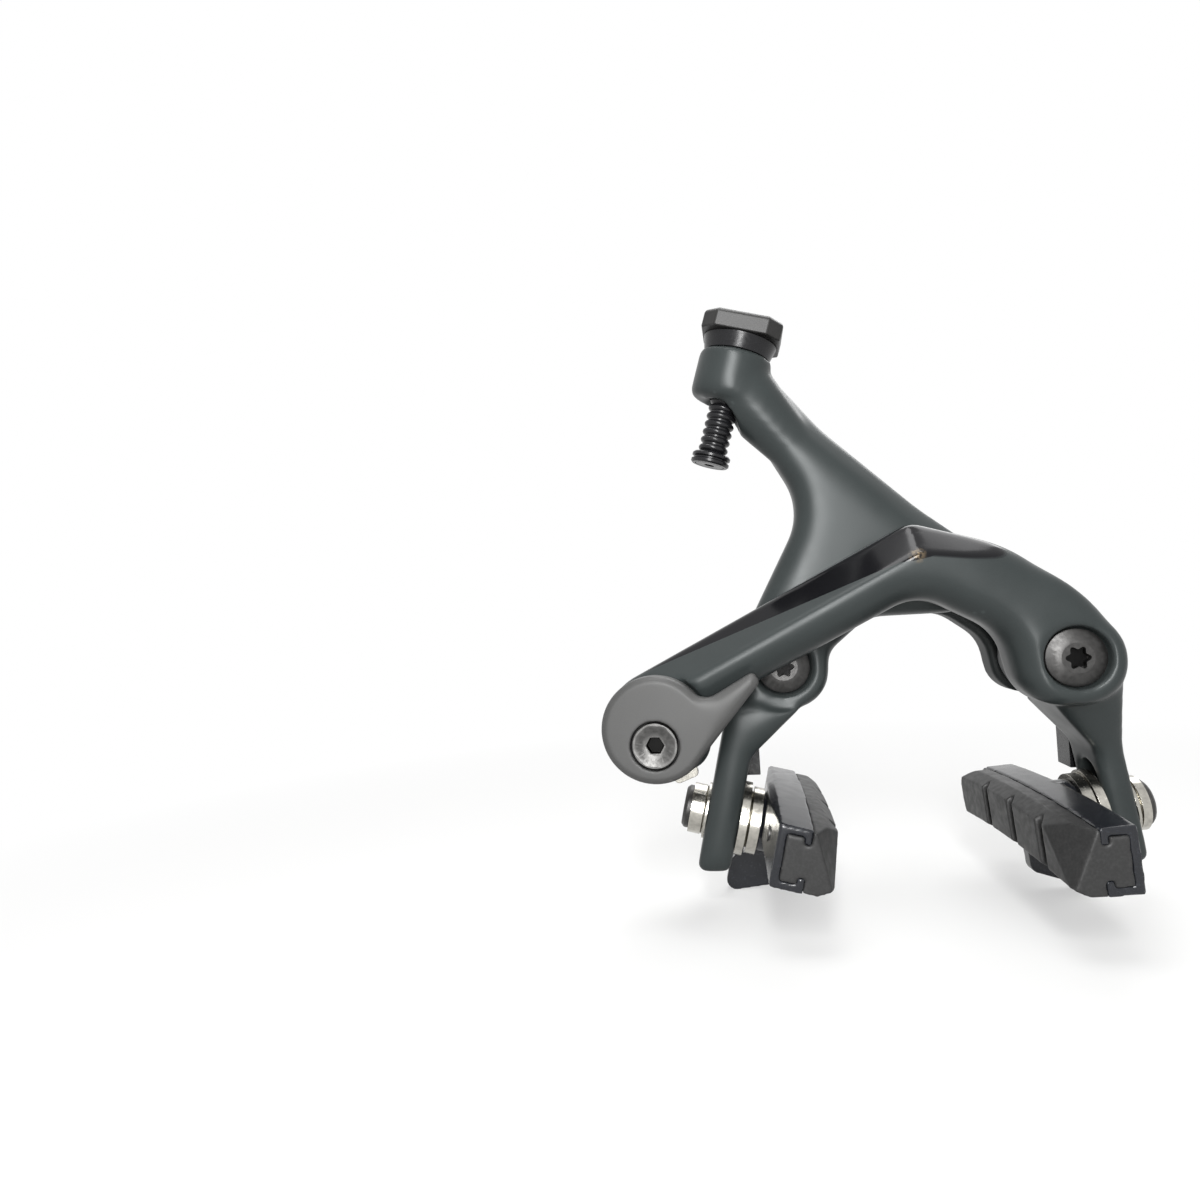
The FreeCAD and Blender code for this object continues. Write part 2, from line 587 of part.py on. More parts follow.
def leg(side, pivot, side_profile):
    """A leg: its front outline and its side profile, each run through the other."""
    half = half_leg(side)
    boss = size("boss_radius")
    end = size(side_name(side) + "_leg_end_drop")
    front_outline = [
        (leg_spot(side, size("pivot_drop"), half), 0),
        (leg_spot(side, end, half), size("leg_end_rounding")),
        (leg_spot(side, end, -half), size("leg_end_rounding")),
        (leg_spot(side, size("leg_neck_drop"), -half), boss * 0.5),
        (V(pivot.x - side * boss * 0.5, 0, pivot.z - boss * 0.8), 0),
        (V(pivot.x - side * boss * 0.5, 0, pivot.z), 0),
    ]
    nearest = min(point.y for point, radius in side_profile)
    farthest = max(point.y for point, radius in side_profile)
    front_view = slab(front_outline, nearest - PAST, farthest + PAST)
    widest = size("left_shoe_out") + half * 8
    side_face = outline(side_profile)
    side_face.translate(V(min(0, side * widest), 0, 0))
    block = front_view.common(side_face.extrude(V(widest, 0, 0)))
    rounding = size("leg_edge")
    edges = [edge for edge in block.Edges if is_leg_edge(edge, pivot.z - boss, rounding - end)]
    return block.makeFillet(rounding, edges)


def is_leg_edge(edge, top, foot):
    """Whether an edge runs down the front or back of a leg or round its end: no seam, no edge through it."""
    heights = [vertex.Z for vertex in edge.Vertexes]
    depths = [vertex.Y for vertex in edge.Vertexes]
    through = max(depths) - min(depths) > size("leg_front") - size("leg_back") - size("leg_edge") * 4
    seam = max(heights) - min(heights) < size("leg_edge") / 4 and max(heights) > foot
    return min(heights) < top and not through and not seam


def shoe_slot(side):
    """The slot that lets a shoe bolt be set higher or lower in its leg."""
    lean = math.radians(size(side_name(side) + "_leg_lean"))
    outward = V(side * math.cos(lean), 0, math.sin(lean))
    down = V(side * math.sin(lean), 0, -math.cos(lean))
    middle = at_depth(leg_spot(side, (size("slot_high") + size("slot_low")) / 2, 0), leg_middle)
    through = half_leg(side) * 2
    radius = size("slot_radius")
    half = (size("slot_low") - size("slot_high")) / 2
    corners = []
    for u, v in ((-1, -1), (1, -1), (1, 1), (-1, 1)):
        corners.append(middle - outward * through + down * (half * u) + V(0, radius * v, 0))
    flat = Part.Face(Part.makePolygon(corners + corners[:1])).extrude(outward * (2 * through))
    ends = []
    for u in (-1, 1):
        end = middle + down * (half * u)
        ends.append(rod(end - outward * through, end + outward * through, radius))
    return flat.fuse(ends)


# Front arm: clamp end, straight bar, crown, right pivot and right leg
slope = math.radians(size("bar_slope"))
along = V(math.cos(slope), 0, math.sin(slope))
above = V(-math.sin(slope), 0, math.cos(slope))
clamp_end = size("clamp_end_radius")
bar_below = size("bar_width") - clamp_end
boss = size("boss_radius")


def on_bar(offset, height=None, across=None):
    """The point of a line along the bar, offset from the clamp axis, at a height or a sideways place."""
    start = clamp_axis + above * offset
    if height is not None:
        return start + along * ((height - start.z) / along.z)
    return start + along * ((across - start.x) / along.x)


crown = on_bar(clamp_end, height=size("crown_height"))
shoulder = V(size("shoulder_out"), 0, -size("shoulder_drop"))
shoulder_run = shoulder - crown
shoulder_out = V(-shoulder_run.z, 0, shoulder_run.x).normalize()
shoulder_mid = crown + shoulder_run * 0.52 + shoulder_out * size("shoulder_bulge")
clamp_side = clamp_axis + along * (clamp_end * 0.78)
front_outline = [
    (clamp_axis - along * clamp_end + above * clamp_end, clamp_end),
    (clamp_axis - along * clamp_end - above * clamp_end, clamp_end),
    (clamp_side - above * clamp_end, clamp_end * 0.5),
    (clamp_side - above * bar_below, clamp_end * 0.3),
    (on_bar(-bar_below, across=0.0), boss * 1.1),
    (right_pivot + V(-boss * 1.32, 0, boss * 0.6), boss * 1.1),
    (right_pivot + V(-boss, 0, -boss), boss * 0.9),
    (right_pivot + V(boss, 0, -boss), boss * 0.9),
    (right_pivot + V(boss, 0, boss * 0.25), boss),
    (shoulder, boss * 3),
    (shoulder_mid, boss * 3),
    (crown, size("crown_rounding")),
]
front_arm = slab(front_outline, front_front, front_back)
bar_middle = clamp_axis + above * ((clamp_end - bar_below) / 2)


def front_rounding(point):
    """Rounding of the front arm's edge at a point: larger under the bar and the arch, and at the shoulder."""
    under = (point - bar_middle).dot(above) < 0
    inside = clamp_end * 0.5 < (point - clamp_axis).dot(along) and point.x < right_pivot.x - boss * 0.6
    if under and inside:
        return size("bar_under_edge")
    if point.x > crown.x + boss and point.z > right_pivot.z + boss * 0.5:
        return size("shoulder_edge")
    return size("arm_edge")


front_arm = front_arm.makeFillet(size("arm_back_edge"), edges_at(front_arm, front_back))
front_arm = rounded_front("front_arm", front_arm, front_front, front_rounding)

# The sloping top panel is two flats that fold at the crown
ridge_drop = V(0, 0, -size("panel_height") / along.x)
ridge = at_depth(crown, front_front) + ridge_drop
rise = V(0, size("panel_depth"), 0) - ridge_drop
fade = math.radians(size("panel_fade"))
for direction in (along, V(math.cos(fade), 0, -math.sin(fade))):
    front_arm = front_arm.cut(beyond(ridge, direction, rise, ALONG_Z))

half_leg_gap = size("lug_radius") + size("arm_gap") * 2
right_profile = [
    (V(0, front_front + size("arm_edge"), right_pivot.z), 0),
    (V(0, front_front + size("arm_edge"), right_pivot.z - boss * 0.6), boss * 0.4),
    (V(0, -size("leg_front"), -size("leg_neck_drop")), boss),
    (V(0, -size("leg_front"), -size("right_leg_end_drop") - PAST), 0),
    (V(0, -size("leg_back"), -size("right_leg_end_drop") - PAST), 0),
    (V(0, -size("leg_back"), right_pivot.z - half_leg_gap), 0),
    (V(0, rear_back, right_pivot.z - half_leg_gap), 0),
    (V(0, rear_back, right_pivot.z), 0),
]
right_boss = post(right_pivot, front_front + size("front_arm_thickness") / 2, rear_back, boss * 0.96)
front_arm = front_arm.fuse([right_boss, leg(1, right_pivot, right_profile)])
pin_open = V(-size("link_start"), 0, size("link_rise"))
recess_radius = size("pivot_head_radius") + size("head_recess_gap")
front_arm = front_arm.cut([
    post(right_pivot, front_front - PAST, rear_back + PAST, size("bush_radius")),
    post(right_pivot, front_front - PAST, front_front + size("right_recess_depth"), recess_radius),
    post(clamp_axis, front_front - PAST, front_front + size("lever_sunk"),
         size("lever_radius") + size("lever_gap")),
    post(clamp_axis, front_front - PAST, front_back + PAST,
         size("journal_radius") + size("sliding_clearance")),
    post(pin_open, front_back - size("link_pin_grip"), front_back + PAST, size("link_pin_radius")),
    shoe_slot(1),
])
made("front_arm", front_arm.removeSplitter())

# Rear arm: adjuster end, tail, left pivot and left leg
boss_foot = V(-size("adjuster_out"), (rear_front + rear_back) / 2, size("adjuster_rise"))
lean = math.radians(size("adjuster_lean"))
adjuster_axis = V(math.sin(lean), 0, math.cos(lean))
boss_top = boss_foot + adjuster_axis * size("adjuster_boss_height")
boss_middle = (boss_foot + boss_top) * 0.5
adjuster_boss = size("adjuster_boss_radius")
waist = V(-size("waist_out"), 0, size("waist_rise"))
upper = V(size("tail_reach"), 0, size("tail_rise"))
adjuster_across = V(math.cos(lean), 0, -math.sin(lean))
upper_start = at_depth(boss_top, 0) + (adjuster_across * 0.9 - adjuster_axis * 0.12) * adjuster_boss
upper_run = upper - upper_start
upper_out = V(-upper_run.z, 0, upper_run.x).normalize() * size("rear_sag")
upper_corners = [
    upper_start + upper_run * 0.28 - upper_out * 0.6,
    upper_start + upper_run * 0.72 - upper_out * 0.5,
]
rear_outline = [
    (upper_start, 0),
    (upper_corners[0], boss * 4),
    (upper_corners[1], boss * 4),
    (upper, size("arm_edge") * 1.2),
    (V(upper.x * 0.9, 0, -size("arch_drop") * 0.75), size("arm_edge") * 1.4),
    (V(arch_half, 0, -size("arch_drop")), lug * 0.7),
    (V(-arch_half, 0, -size("arch_drop")), lug),
    (left_pivot + V(boss * 1.05, 0, boss * 0.25), boss * 0.6),
    (left_pivot + V(boss, 0, -boss), boss * 0.9),
    (left_pivot + V(-boss, 0, -boss), boss * 0.9),
    (left_pivot + V(-boss, 0, boss * 0.55), boss * 0.8),
    (waist, boss * 1.5),
    (V(-size("arm_neck_out"), 0, size("arm_neck_rise")), boss * 1.5),
    (at_depth(boss_foot, 0) - V(adjuster_boss * 0.3, 0, 0), 0),
]
rear_arm = slab(rear_outline, rear_front, rear_back)


def rear_rounding(point):
    """Rounding of the rear arm's front edge at a point: larger between the left pivot and the adjuster."""
    away = (point - upper_start).dot(upper_out) / size("rear_sag")
    beside = left_pivot.z + boss * 0.4 < point.z < boss_foot.z - boss * 0.5
    return size("rear_under_edge") if beside and away < -boss * 0.7 else size("arm_edge")


rear_arm = rounded_front("rear_arm", rear_arm, rear_front, rear_rounding)
bevel_run = upper_corners[1] - upper_corners[0]
bevel_out = V(-bevel_run.z, 0, bevel_run.x).normalize()
bevel_foot = at_depth(upper_corners[0], rear_front) - bevel_out * size("rear_chamfer")
bevel_rise = bevel_out * size("rear_chamfer") + V(0, size("rear_chamfer"), 0)
rear_arm = rear_arm.cut(beyond(bevel_foot, bevel_run, bevel_rise, bevel_out))

neck_end = (waist + upper_corners[0]) * 0.5
neck_end.y = boss_foot.y
neck_run = (neck_end - boss_middle).normalize()
neck_sections = []
for middle, wide, deep in ((boss_middle, adjuster_boss * 0.97, adjuster_boss * 0.96),
                           (neck_end, adjuster_boss * 0.55, size("rear_arm_thickness") * 0.4)):
    oval = Part.Ellipse(V(0, 0, 0), max(wide, deep) + 0.01, min(wide, deep)).toShape()
    frame = FreeCAD.Rotation(ALONG_Y.cross(neck_run), ALONG_Y, neck_run, "ZXY")
    oval.Placement = FreeCAD.Placement(middle, frame)
    neck_sections.append(Part.Wire([oval]))
neck = Part.makeLoft(neck_sections, True, True)
below_boss = rod(boss_foot, boss_foot - adjuster_axis * (adjuster_boss * 3),
                 size("barrel_ring_radius") + size("arm_gap"))

left_profile = [
    (V(0, -size("leg_front"), left_pivot.z), 0),
    (V(0, -size("leg_front"), -size("left_leg_end_drop") - PAST), 0),
    (V(0, -size("leg_back"), -size("left_leg_end_drop") - PAST), 0),
    (V(0, -size("leg_back"), left_pivot.z - half_leg_gap), 0),
    (V(0, rear_back, left_pivot.z - half_leg_gap), 0),
    (V(0, rear_back, left_pivot.z), 0),
]
left_leg = leg(-1, left_pivot, left_profile)
leg_top = V(0, rear_front, left_pivot.z - boss * 0.7)
left_leg = left_leg.cut([
    post(left_pivot, -size("leg_front") - PAST, rear_front, boss * 1.03),
    beyond(leg_top, ALONG_X, V(0, -size("leg_front") - rear_front, -boss * 0.35), V(0, -1, 1)),
])


def link_path(turn):
    """Where the link pin stands, seen from the rear arm, once both arms have turned by this many degrees."""
    spot = V(pin_open.x, 0, pin_open.z)
    for pivot in (right_pivot, left_pivot):
        spot = pivot + FreeCAD.Rotation(ALONG_Y, turn).multVec(spot - pivot)
    return spot


def link_slot():
    """The curved slot of the rear arm that the link roller runs in."""
    spare = size("closing_angle") * 0.06
    reach = size("closing_angle")
    stops = [link_path(-spare), link_path(reach / 2), link_path(reach + spare)]
    curve = Part.Arc(*stops).toShape().Curve
    centre = curve.Center
    wide = size("roller_radius") + size("sliding_clearance")
    ring_sector = []
    for radius in (curve.Radius - wide, curve.Radius + wide):
        ring_sector.append([centre + (stop - centre).normalize() * radius for stop in stops])
    inner, outer = ring_sector
    edges = [
        Part.Arc(*inner).toShape(),
        Part.makeLine(inner[2], outer[2]),
        Part.Arc(*reversed(outer)).toShape(),
        Part.makeLine(outer[0], inner[0]),
    ]
    sector = Part.Face(Part.Wire(edges))
    sector.translate(V(0, rear_front - PAST, 0))
    depth = V(0, rear_back - rear_front + 2 * PAST, 0)
    ends = [post(stop, rear_front - PAST, rear_back + PAST, wide) for stop in (stops[0], stops[2])]
    return sector.extrude(depth).fuse(ends)


rear_arm = rear_arm.fuse([neck]).cut(below_boss)
cable_boss = rod(boss_foot, boss_top, adjuster_boss)
foot_edge = min(cable_boss.Edges, key=lambda edge: edge.CenterOfMass.distanceToPoint(boss_foot))
cable_boss = cable_boss.makeFillet(size("adjuster_boss_edge"), [foot_edge])
rear_arm = rear_arm.fuse([cable_boss, left_leg])
rear_arm = rear_arm.cut([
    rod(boss_top, boss_top + adjuster_axis * adjuster_boss, adjuster_boss * 1.5),
    post(left_pivot, rear_front - PAST, rear_back + PAST, size("bush_radius")),
    post(left_pivot, rear_front - PAST, rear_front + size("left_recess_depth"), recess_radius),
    rod(boss_foot - adjuster_axis * adjuster_boss, boss_top + adjuster_axis,
        size("barrel_radius") + size("sliding_clearance")),
    link_slot(),
    shoe_slot(-1),
])
made("rear_arm", rear_arm.removeSplitter())

# Link between the arms
pin = node(doc.addObject("Part::Cylinder", "link_pin"))
pin.setExpression("Radius", "sizes.link_pin_radius")
pin.setExpression("Height", "sizes.link_pin_grip + sizes.arm_gap + sizes.rear_arm_thickness")
put(pin, at_depth(pin_open, rear_back), TO_VIEWER)
roller = ring("link_roller", "link_pin_radius + running_clearance", "roller_radius",
              "rear_arm_thickness - roller_play")
put(roller, at_depth(pin_open, rear_back), TO_VIEWER)

# Quick-release lever with its eccentric clamp
lever_turn = math.radians(size("lever_angle"))
lever_out = V(math.cos(lever_turn), 0, math.sin(lever_turn))
lever_up = V(-math.sin(lever_turn), 0, math.cos(lever_turn))
lever_back = front_front + size("lever_sunk") - size("axial_play")
lever_front = lever_back - size("lever_thickness")
disc = size("lever_radius")
tip = size("lever_length")


def lever_spot(out, up):
    """A point of the lever in the front view: out towards its tip, up across it."""
    return clamp_axis + lever_out * out + lever_up * up


lever_under = front_front - size("arm_gap")
lever = slab([
    (lever_spot(disc * 0.2, -disc * 0.03), 0),
    (lever_spot(tip, 0), disc * 0.1),
    (lever_spot(tip, -disc * 0.23), disc * 0.1),
    (lever_spot(disc * 0.43, -disc * 0.9), 0),
], lever_front, lever_under)
lever = lever.fuse(post(clamp_axis, lever_front, lever_under, disc)).removeSplitter()
hollow = lever_spot(disc, -disc * 0.03)
inner_corner = min((edge for edge in lever.Edges if abs(edge.Vertexes[0].Y - edge.Vertexes[-1].Y) > 1),
                   key=lambda edge: at_depth(edge.CenterOfMass, 0).distanceToPoint(hollow))
lever = lever.makeFillet(disc * 0.35, [inner_corner])
lever = lever.makeFillet(size("lever_edge"), edges_at(lever, lever_front))
lever = lever.fuse(post(clamp_axis, lever_under, lever_back, disc))
clamp_place = clamp_axis + V(0, 0, -size("clamp_offset"))
journal_end = front_back
head_seat = lever_front + size("clamp_head_height")
lever = lever.fuse(post(clamp_axis, lever_back, journal_end, size("journal_radius")))
lever = lever.cut([
    post(clamp_place, lever_front - PAST, journal_end + PAST,
         size("clamp_bolt_radius") + size("clearance_hole_gap")),
    post(clamp_place, lever_front - PAST, head_seat, size("clamp_head_radius") + size("head_recess_gap")),
])
made("qr_lever", lever)

plate_back = journal_end + size("clamp_plate_thickness")
tab_turn = math.radians(size("clamp_tab_angle"))
tab_out = V(math.cos(tab_turn), 0, -math.sin(tab_turn))
tab_across = V(math.sin(tab_turn), 0, math.cos(tab_turn)) * (size("clamp_tab_width") / 2)
tab_end = clamp_axis + tab_out * size("clamp_tab_length")
plate = slab([
    (clamp_axis + tab_across, 0),
    (clamp_axis - tab_across, 0),
    (tab_end - tab_across, size("clamp_tab_width") * 0.2),
    (tab_end + tab_across, size("clamp_tab_width") * 0.2),
], journal_end, plate_back)
plate = plate.fuse(post(clamp_axis, journal_end, plate_back, size("clamp_plate_radius")))
plate = plate.cut(post(clamp_place, journal_end, plate_back, size("clamp_bolt_radius")))
made("cable_clamp_plate", plate.removeSplitter())

shank = ("clamp_plate_thickness + front_arm_thickness - lever_sunk + axial_play + lever_thickness"
         " - clamp_head_height")
clamp_bolt = turned("cable_clamp_bolt", (
    ("0", "0"),
    ("clamp_bolt_radius", "0"),
    ("clamp_bolt_radius", shank),
    ("clamp_head_radius", shank),
    ("clamp_head_radius", shank + " + clamp_head_height"),
    ("clamp_head_radius - clamp_head_rim", shank + " + clamp_head_height"),
    ("clamp_socket_radius + clamp_head_rim", shank + " + clamp_head_height - clamp_head_dish"),
    ("0", shank + " + clamp_head_height - clamp_head_dish"),
))
dish_floor = shank + " + clamp_head_height - clamp_head_dish"
socket(clamp_bolt, "clamp_socket_radius", dish_floor, "clamp_socket_depth")
put(clamp_bolt, at_depth(clamp_place, plate_back), TO_VIEWER)

# Cable adjuster
barrel_length = "barrel_drop + adjuster_boss_height + collar_height + knob_height - barrel_top_inset"
barrel_foot = boss_foot - adjuster_axis * size("barrel_drop")
put(turned("adjuster_barrel", (
    ("cable_bore_radius", "0"),
    ("barrel_radius", "0"),
    ("barrel_radius", barrel_length),
    ("housing_radius", barrel_length),
    ("housing_radius", barrel_length + " - housing_depth"),
    ("cable_bore_radius", barrel_length + " - housing_depth"),
)), barrel_foot, adjuster_axis)
put(turned("adjuster_end_ring", (
    ("barrel_radius", "0"),
    ("barrel_ring_radius - bolt_chamfer", "0"),
    ("barrel_ring_radius", "bolt_chamfer"),
    ("barrel_ring_radius", "barrel_ring_height - bolt_chamfer"),
    ("barrel_ring_radius - bolt_chamfer", "barrel_ring_height"),
    ("barrel_radius", "barrel_ring_height"),
)), barrel_foot, adjuster_axis)
put(turned("adjuster_collar", (
    ("barrel_radius + sliding_clearance", "0"),
    ("collar_foot_radius", "0"),
    ("collar_neck_radius", "collar_height"),
    ("barrel_radius + sliding_clearance", "collar_height"),
)), boss_top, adjuster_axis)

knob = node(doc.addObject("PartDesign::Body", "adjuster_knob"))
flat = "knob_half_width"
corner = "knob_half_width - knob_corner"
minus_flat = "- knob_half_width"
minus_corner = "- knob_half_width + knob_corner"
knob_outline = profile_sketch(knob, "adjuster_knob_outline", "XY_Plane", (
    (flat, minus_corner), (flat, corner), (corner, flat), (minus_corner, flat),
    (minus_flat, corner), (minus_flat, minus_corner), (minus_corner, minus_flat), (corner, minus_flat),
))
knob_pad = knob.newObject("PartDesign::Pad", "adjuster_knob_pad")
knob_pad.Profile = knob_outline
knob_pad.setExpression("Length", "sizes.knob_height")
doc.recompute()
knob_bore_outline = knob.newObject("Sketcher::SketchObject", "adjuster_knob_bore_outline")
knob_bore_outline.AttachmentSupport = [(origin_plane(knob, "XY_Plane"), "")]
knob_bore_outline.MapMode = "FlatFace"
knob_bore_outline.addGeometry(Part.Circle(V(0, 0, 0), ALONG_Z, size("barrel_radius")), False)
knob_bore_outline.addConstraint(Sketcher.Constraint("Coincident", 0, 3, -1, 1))
knob_bore_outline.addConstraint(Sketcher.Constraint("Radius", 0, size("barrel_radius")))
knob_bore_outline.setExpression("Constraints[1]", formula("barrel_radius + sliding_clearance"))
knob_bore = knob.newObject("PartDesign::Pocket", "adjuster_knob_bore")
knob_bore.Profile = knob_bore_outline
knob_bore.Type = "ThroughAll"
knob_bore.Reversed = True
doc.recompute()
knob_edge = knob.newObject("PartDesign::Chamfer", "adjuster_knob_edge")
top_face = max(range(len(knob_bore.Shape.Faces)), key=lambda k: knob_bore.Shape.Faces[k].CenterOfMass.z)
knob_edge.Base = (knob_bore, ["Face%d" % (top_face + 1)])
knob_edge.setExpression("Size", "sizes.knob_edge")
doc.recompute()
put(knob, boss_top + adjuster_axis * size("collar_height"), adjuster_axis)


# Shoes: everything beyond the legs is placed in the shoe's own frame, which starts in the middle of the leg
# at the shoe bolt: X outwards along the bolt, Z up, the wheel axle one rim radius below.
def shoe_frame(side, tilt, toe):
    """The placement of a shoe or of the washers on a leg."""
    tilt = math.radians(tilt)
    outward = V(side * math.cos(tilt), 0, math.sin(tilt))
    upward = V(-side * math.sin(tilt), 0, math.cos(tilt))
    turn = FreeCAD.Rotation(outward, upward.cross(outward), upward, "XZY")
    toed = FreeCAD.Rotation(ALONG_Z, side * toe).multiply(turn)
    on_bolt = leg_spot(side, size(side_name(side) + "_shoe_drop"), 0)
    return FreeCAD.Placement(at_depth(on_bolt, leg_middle), toed)


def along_rim(face, start, end):
    """Sweeps a section round the wheel axle, from start to end along the rim."""
    axle = V(0, 0, -size("rim_radius"))
    degrees = math.degrees(1 / size("rim_radius"))
    first = face.copy()
    first.rotate(axle, ALONG_X, -start * degrees)
    return first.revolve(axle, ALONG_X, -(end - start) * degrees)


def section(corners):
    """A face from (x, z) corners, mirrored below the rim line."""
    upper_half = [V(x, 0, z) for x, z in corners]
    lower_half = [V(x, 0, -z) for x, z in reversed(corners)]
    points = upper_half + lower_half
    return Part.Face(Part.makePolygon(points + points[:1]))


half_shoe = size("shoe_length") / 2
half_height = size("shoe_half_height")
wall = size("holder_wall")
lip = size("holder_lip")


def end_rounding(side, end):
    """What is taken off both corners of a shoe at its closed end, seen from the rim."""
    radius = size("holder_end_rounding")
    sag = math.sqrt(size("rim_radius") ** 2 - end ** 2) - size("rim_radius")
    deep = size("shoe_depth") * 4
    corners = []
    for up in (-1, 1):
        centre = V(-deep, end - side * radius, sag + up * (half_height - radius))
        corner = centre + V(0, side * radius * 3, up * radius * 3)
        lowest = V(-deep, min(centre.y, corner.y), min(centre.z, corner.z))
        block = Part.makeBox(deep, radius * 3, radius * 3, lowest)
        corners.append(block.cut(rod(centre - ALONG_X, centre + ALONG_X * (deep + PAST), radius)))
    return corners


def shoe_holder(side, boss_face):
    """The metal channel that carries the rubber, with its threaded boss and guide fin."""
    back = boss_face - size("holder_boss_height")
    rear = back - size("holder_bulge")
    mouth = rear - size("shoe_depth") + size("pad_exposed")
    hollow_part = section([
        (mouth - PAST, half_height - wall - lip), (mouth + lip, half_height - wall - lip),
        (mouth + lip, half_height - wall), (rear - wall, half_height - wall),
    ])
    far = half_shoe * side
    closed = (half_shoe - size("holder_end")) * side
    body = along_rim(section([(mouth, half_height), (back - wall, half_height), (back, half_height - wall)]),
                     min(-far, far), max(-far, far))
    hollow_part = along_rim(hollow_part, min(-far * 1.1, closed), max(-far * 1.1, closed))
    nose = size("shoe_depth") - size("pad_exposed")
    plan = outline([
        (V(rear, -far, 0), 0), (V(back, -far * 0.3, 0), half_shoe), (V(back, far * 0.3, 0), half_shoe),
        (V(rear, far, 0), nose * 0.5), (V(mouth, far, 0), nose * 0.25), (V(mouth, -far, 0), 0),
    ])
    plan.translate(V(0, 0, -half_height * 3))
    body = body.cut(hollow_part).common(plan.extrude(V(0, 0, half_height * 6)))
    body = body.cut(end_rounding(side, far))
    fin_near = side * (size("leg_front") - size("leg_back")) * 0.6
    fin_far = fin_near + side * size("fin_thickness")
    fin_edge = rear + size("fin_out")
    fin_inside = mouth + lip
    fin_top = wall / 2 - half_height
    fin_foot = -size(side_name(side) + "_fin_drop")
    fin_rise = (fin_edge - fin_inside) * math.tan(math.radians(size("fin_slant")))
    fin = outline([
        (V(fin_inside, fin_near, fin_top), 0),
        (V(back - wall, fin_near, fin_top), half_height * 0.5),
        (V(fin_edge, fin_near, fin_foot * 0.68), half_height * 0.5),
        (V(fin_edge, fin_near, fin_foot), half_height * 0.35),
        (V(fin_inside, fin_near, fin_foot + fin_rise), half_height * 0.35),
    ]).extrude(V(0, fin_far - fin_near, 0))
    screw_along = -side * size("pad_screw_along")
    screw_height = math.sqrt(size("rim_radius") ** 2 - screw_along ** 2) - size("rim_radius")
    bolt_height = -size(side_name(side) + "_shoe_lift")
    threaded_boss = rod(V(rear - wall / 2, 0, bolt_height), V(boss_face, 0, bolt_height),
                        size("holder_boss_radius"))
    body = body.fuse([threaded_boss, fin])
    body = body.cut([
        rod(V(rear - wall * 2, 0, bolt_height), V(boss_face + PAST, 0, bolt_height),
            size("shoe_bolt_radius")),
        rod(V(rear - wall * 2, screw_along, screw_height), V(back + PAST, screw_along, screw_height),
            size("pad_screw_radius")),
    ])
    return body.removeSplitter(), rear, mouth, V(rear - wall, screw_along, screw_height), closed


def brake_pad(side, rear, mouth, closed):
    """The rubber: keyed into the channel, bevelled in front, slanting at the open end, grooved across."""
    face = mouth - size("pad_exposed")
    rubber = size("pad_half_height")
    block = section([
        (face, size("pad_face_half_height")), (face + size("pad_bevel"), rubber), (mouth, rubber),
        (mouth, half_height - wall - lip), (mouth + lip, half_height - wall - lip),
        (mouth + lip, half_height - wall), (rear - wall, half_height - wall),
    ])
    near = -half_shoe * side
    pad = along_rim(block, min(near, closed), max(near, closed))
    cutters = end_rounding(side, closed)
    top = rubber + math.sqrt(size("rim_radius") ** 2 - near ** 2) - size("rim_radius")
    corner = V(mouth - size("pad_step"), near, top)
    to_foot = V(face, near, top - rubber * 2) - corner
    to_edge = V(face, near + side * size("pad_step_length"), top) - corner
    cutters.append(beyond(corner, to_foot, to_edge, V(-1, -side, 1)))
    for place in (-1, 0, 1):
        wall_place = place * size("pad_groove_spacing") - side * size("pad_groove_shift")
        ramp_end = wall_place - side * size("pad_groove_width")
        deepest = face + size("pad_groove_depth")
        plan = ((face - PAST, wall_place), (deepest, wall_place), (face, ramp_end), (face - PAST, ramp_end))
        corners = [V(x, y, -half_height * 2) for x, y in plan]
        groove = Part.Face(Part.makePolygon(corners + corners[:1]))
        cutters.append(groove.extrude(V(0, 0, half_height * 4)))
    return pad.cut(cutters)


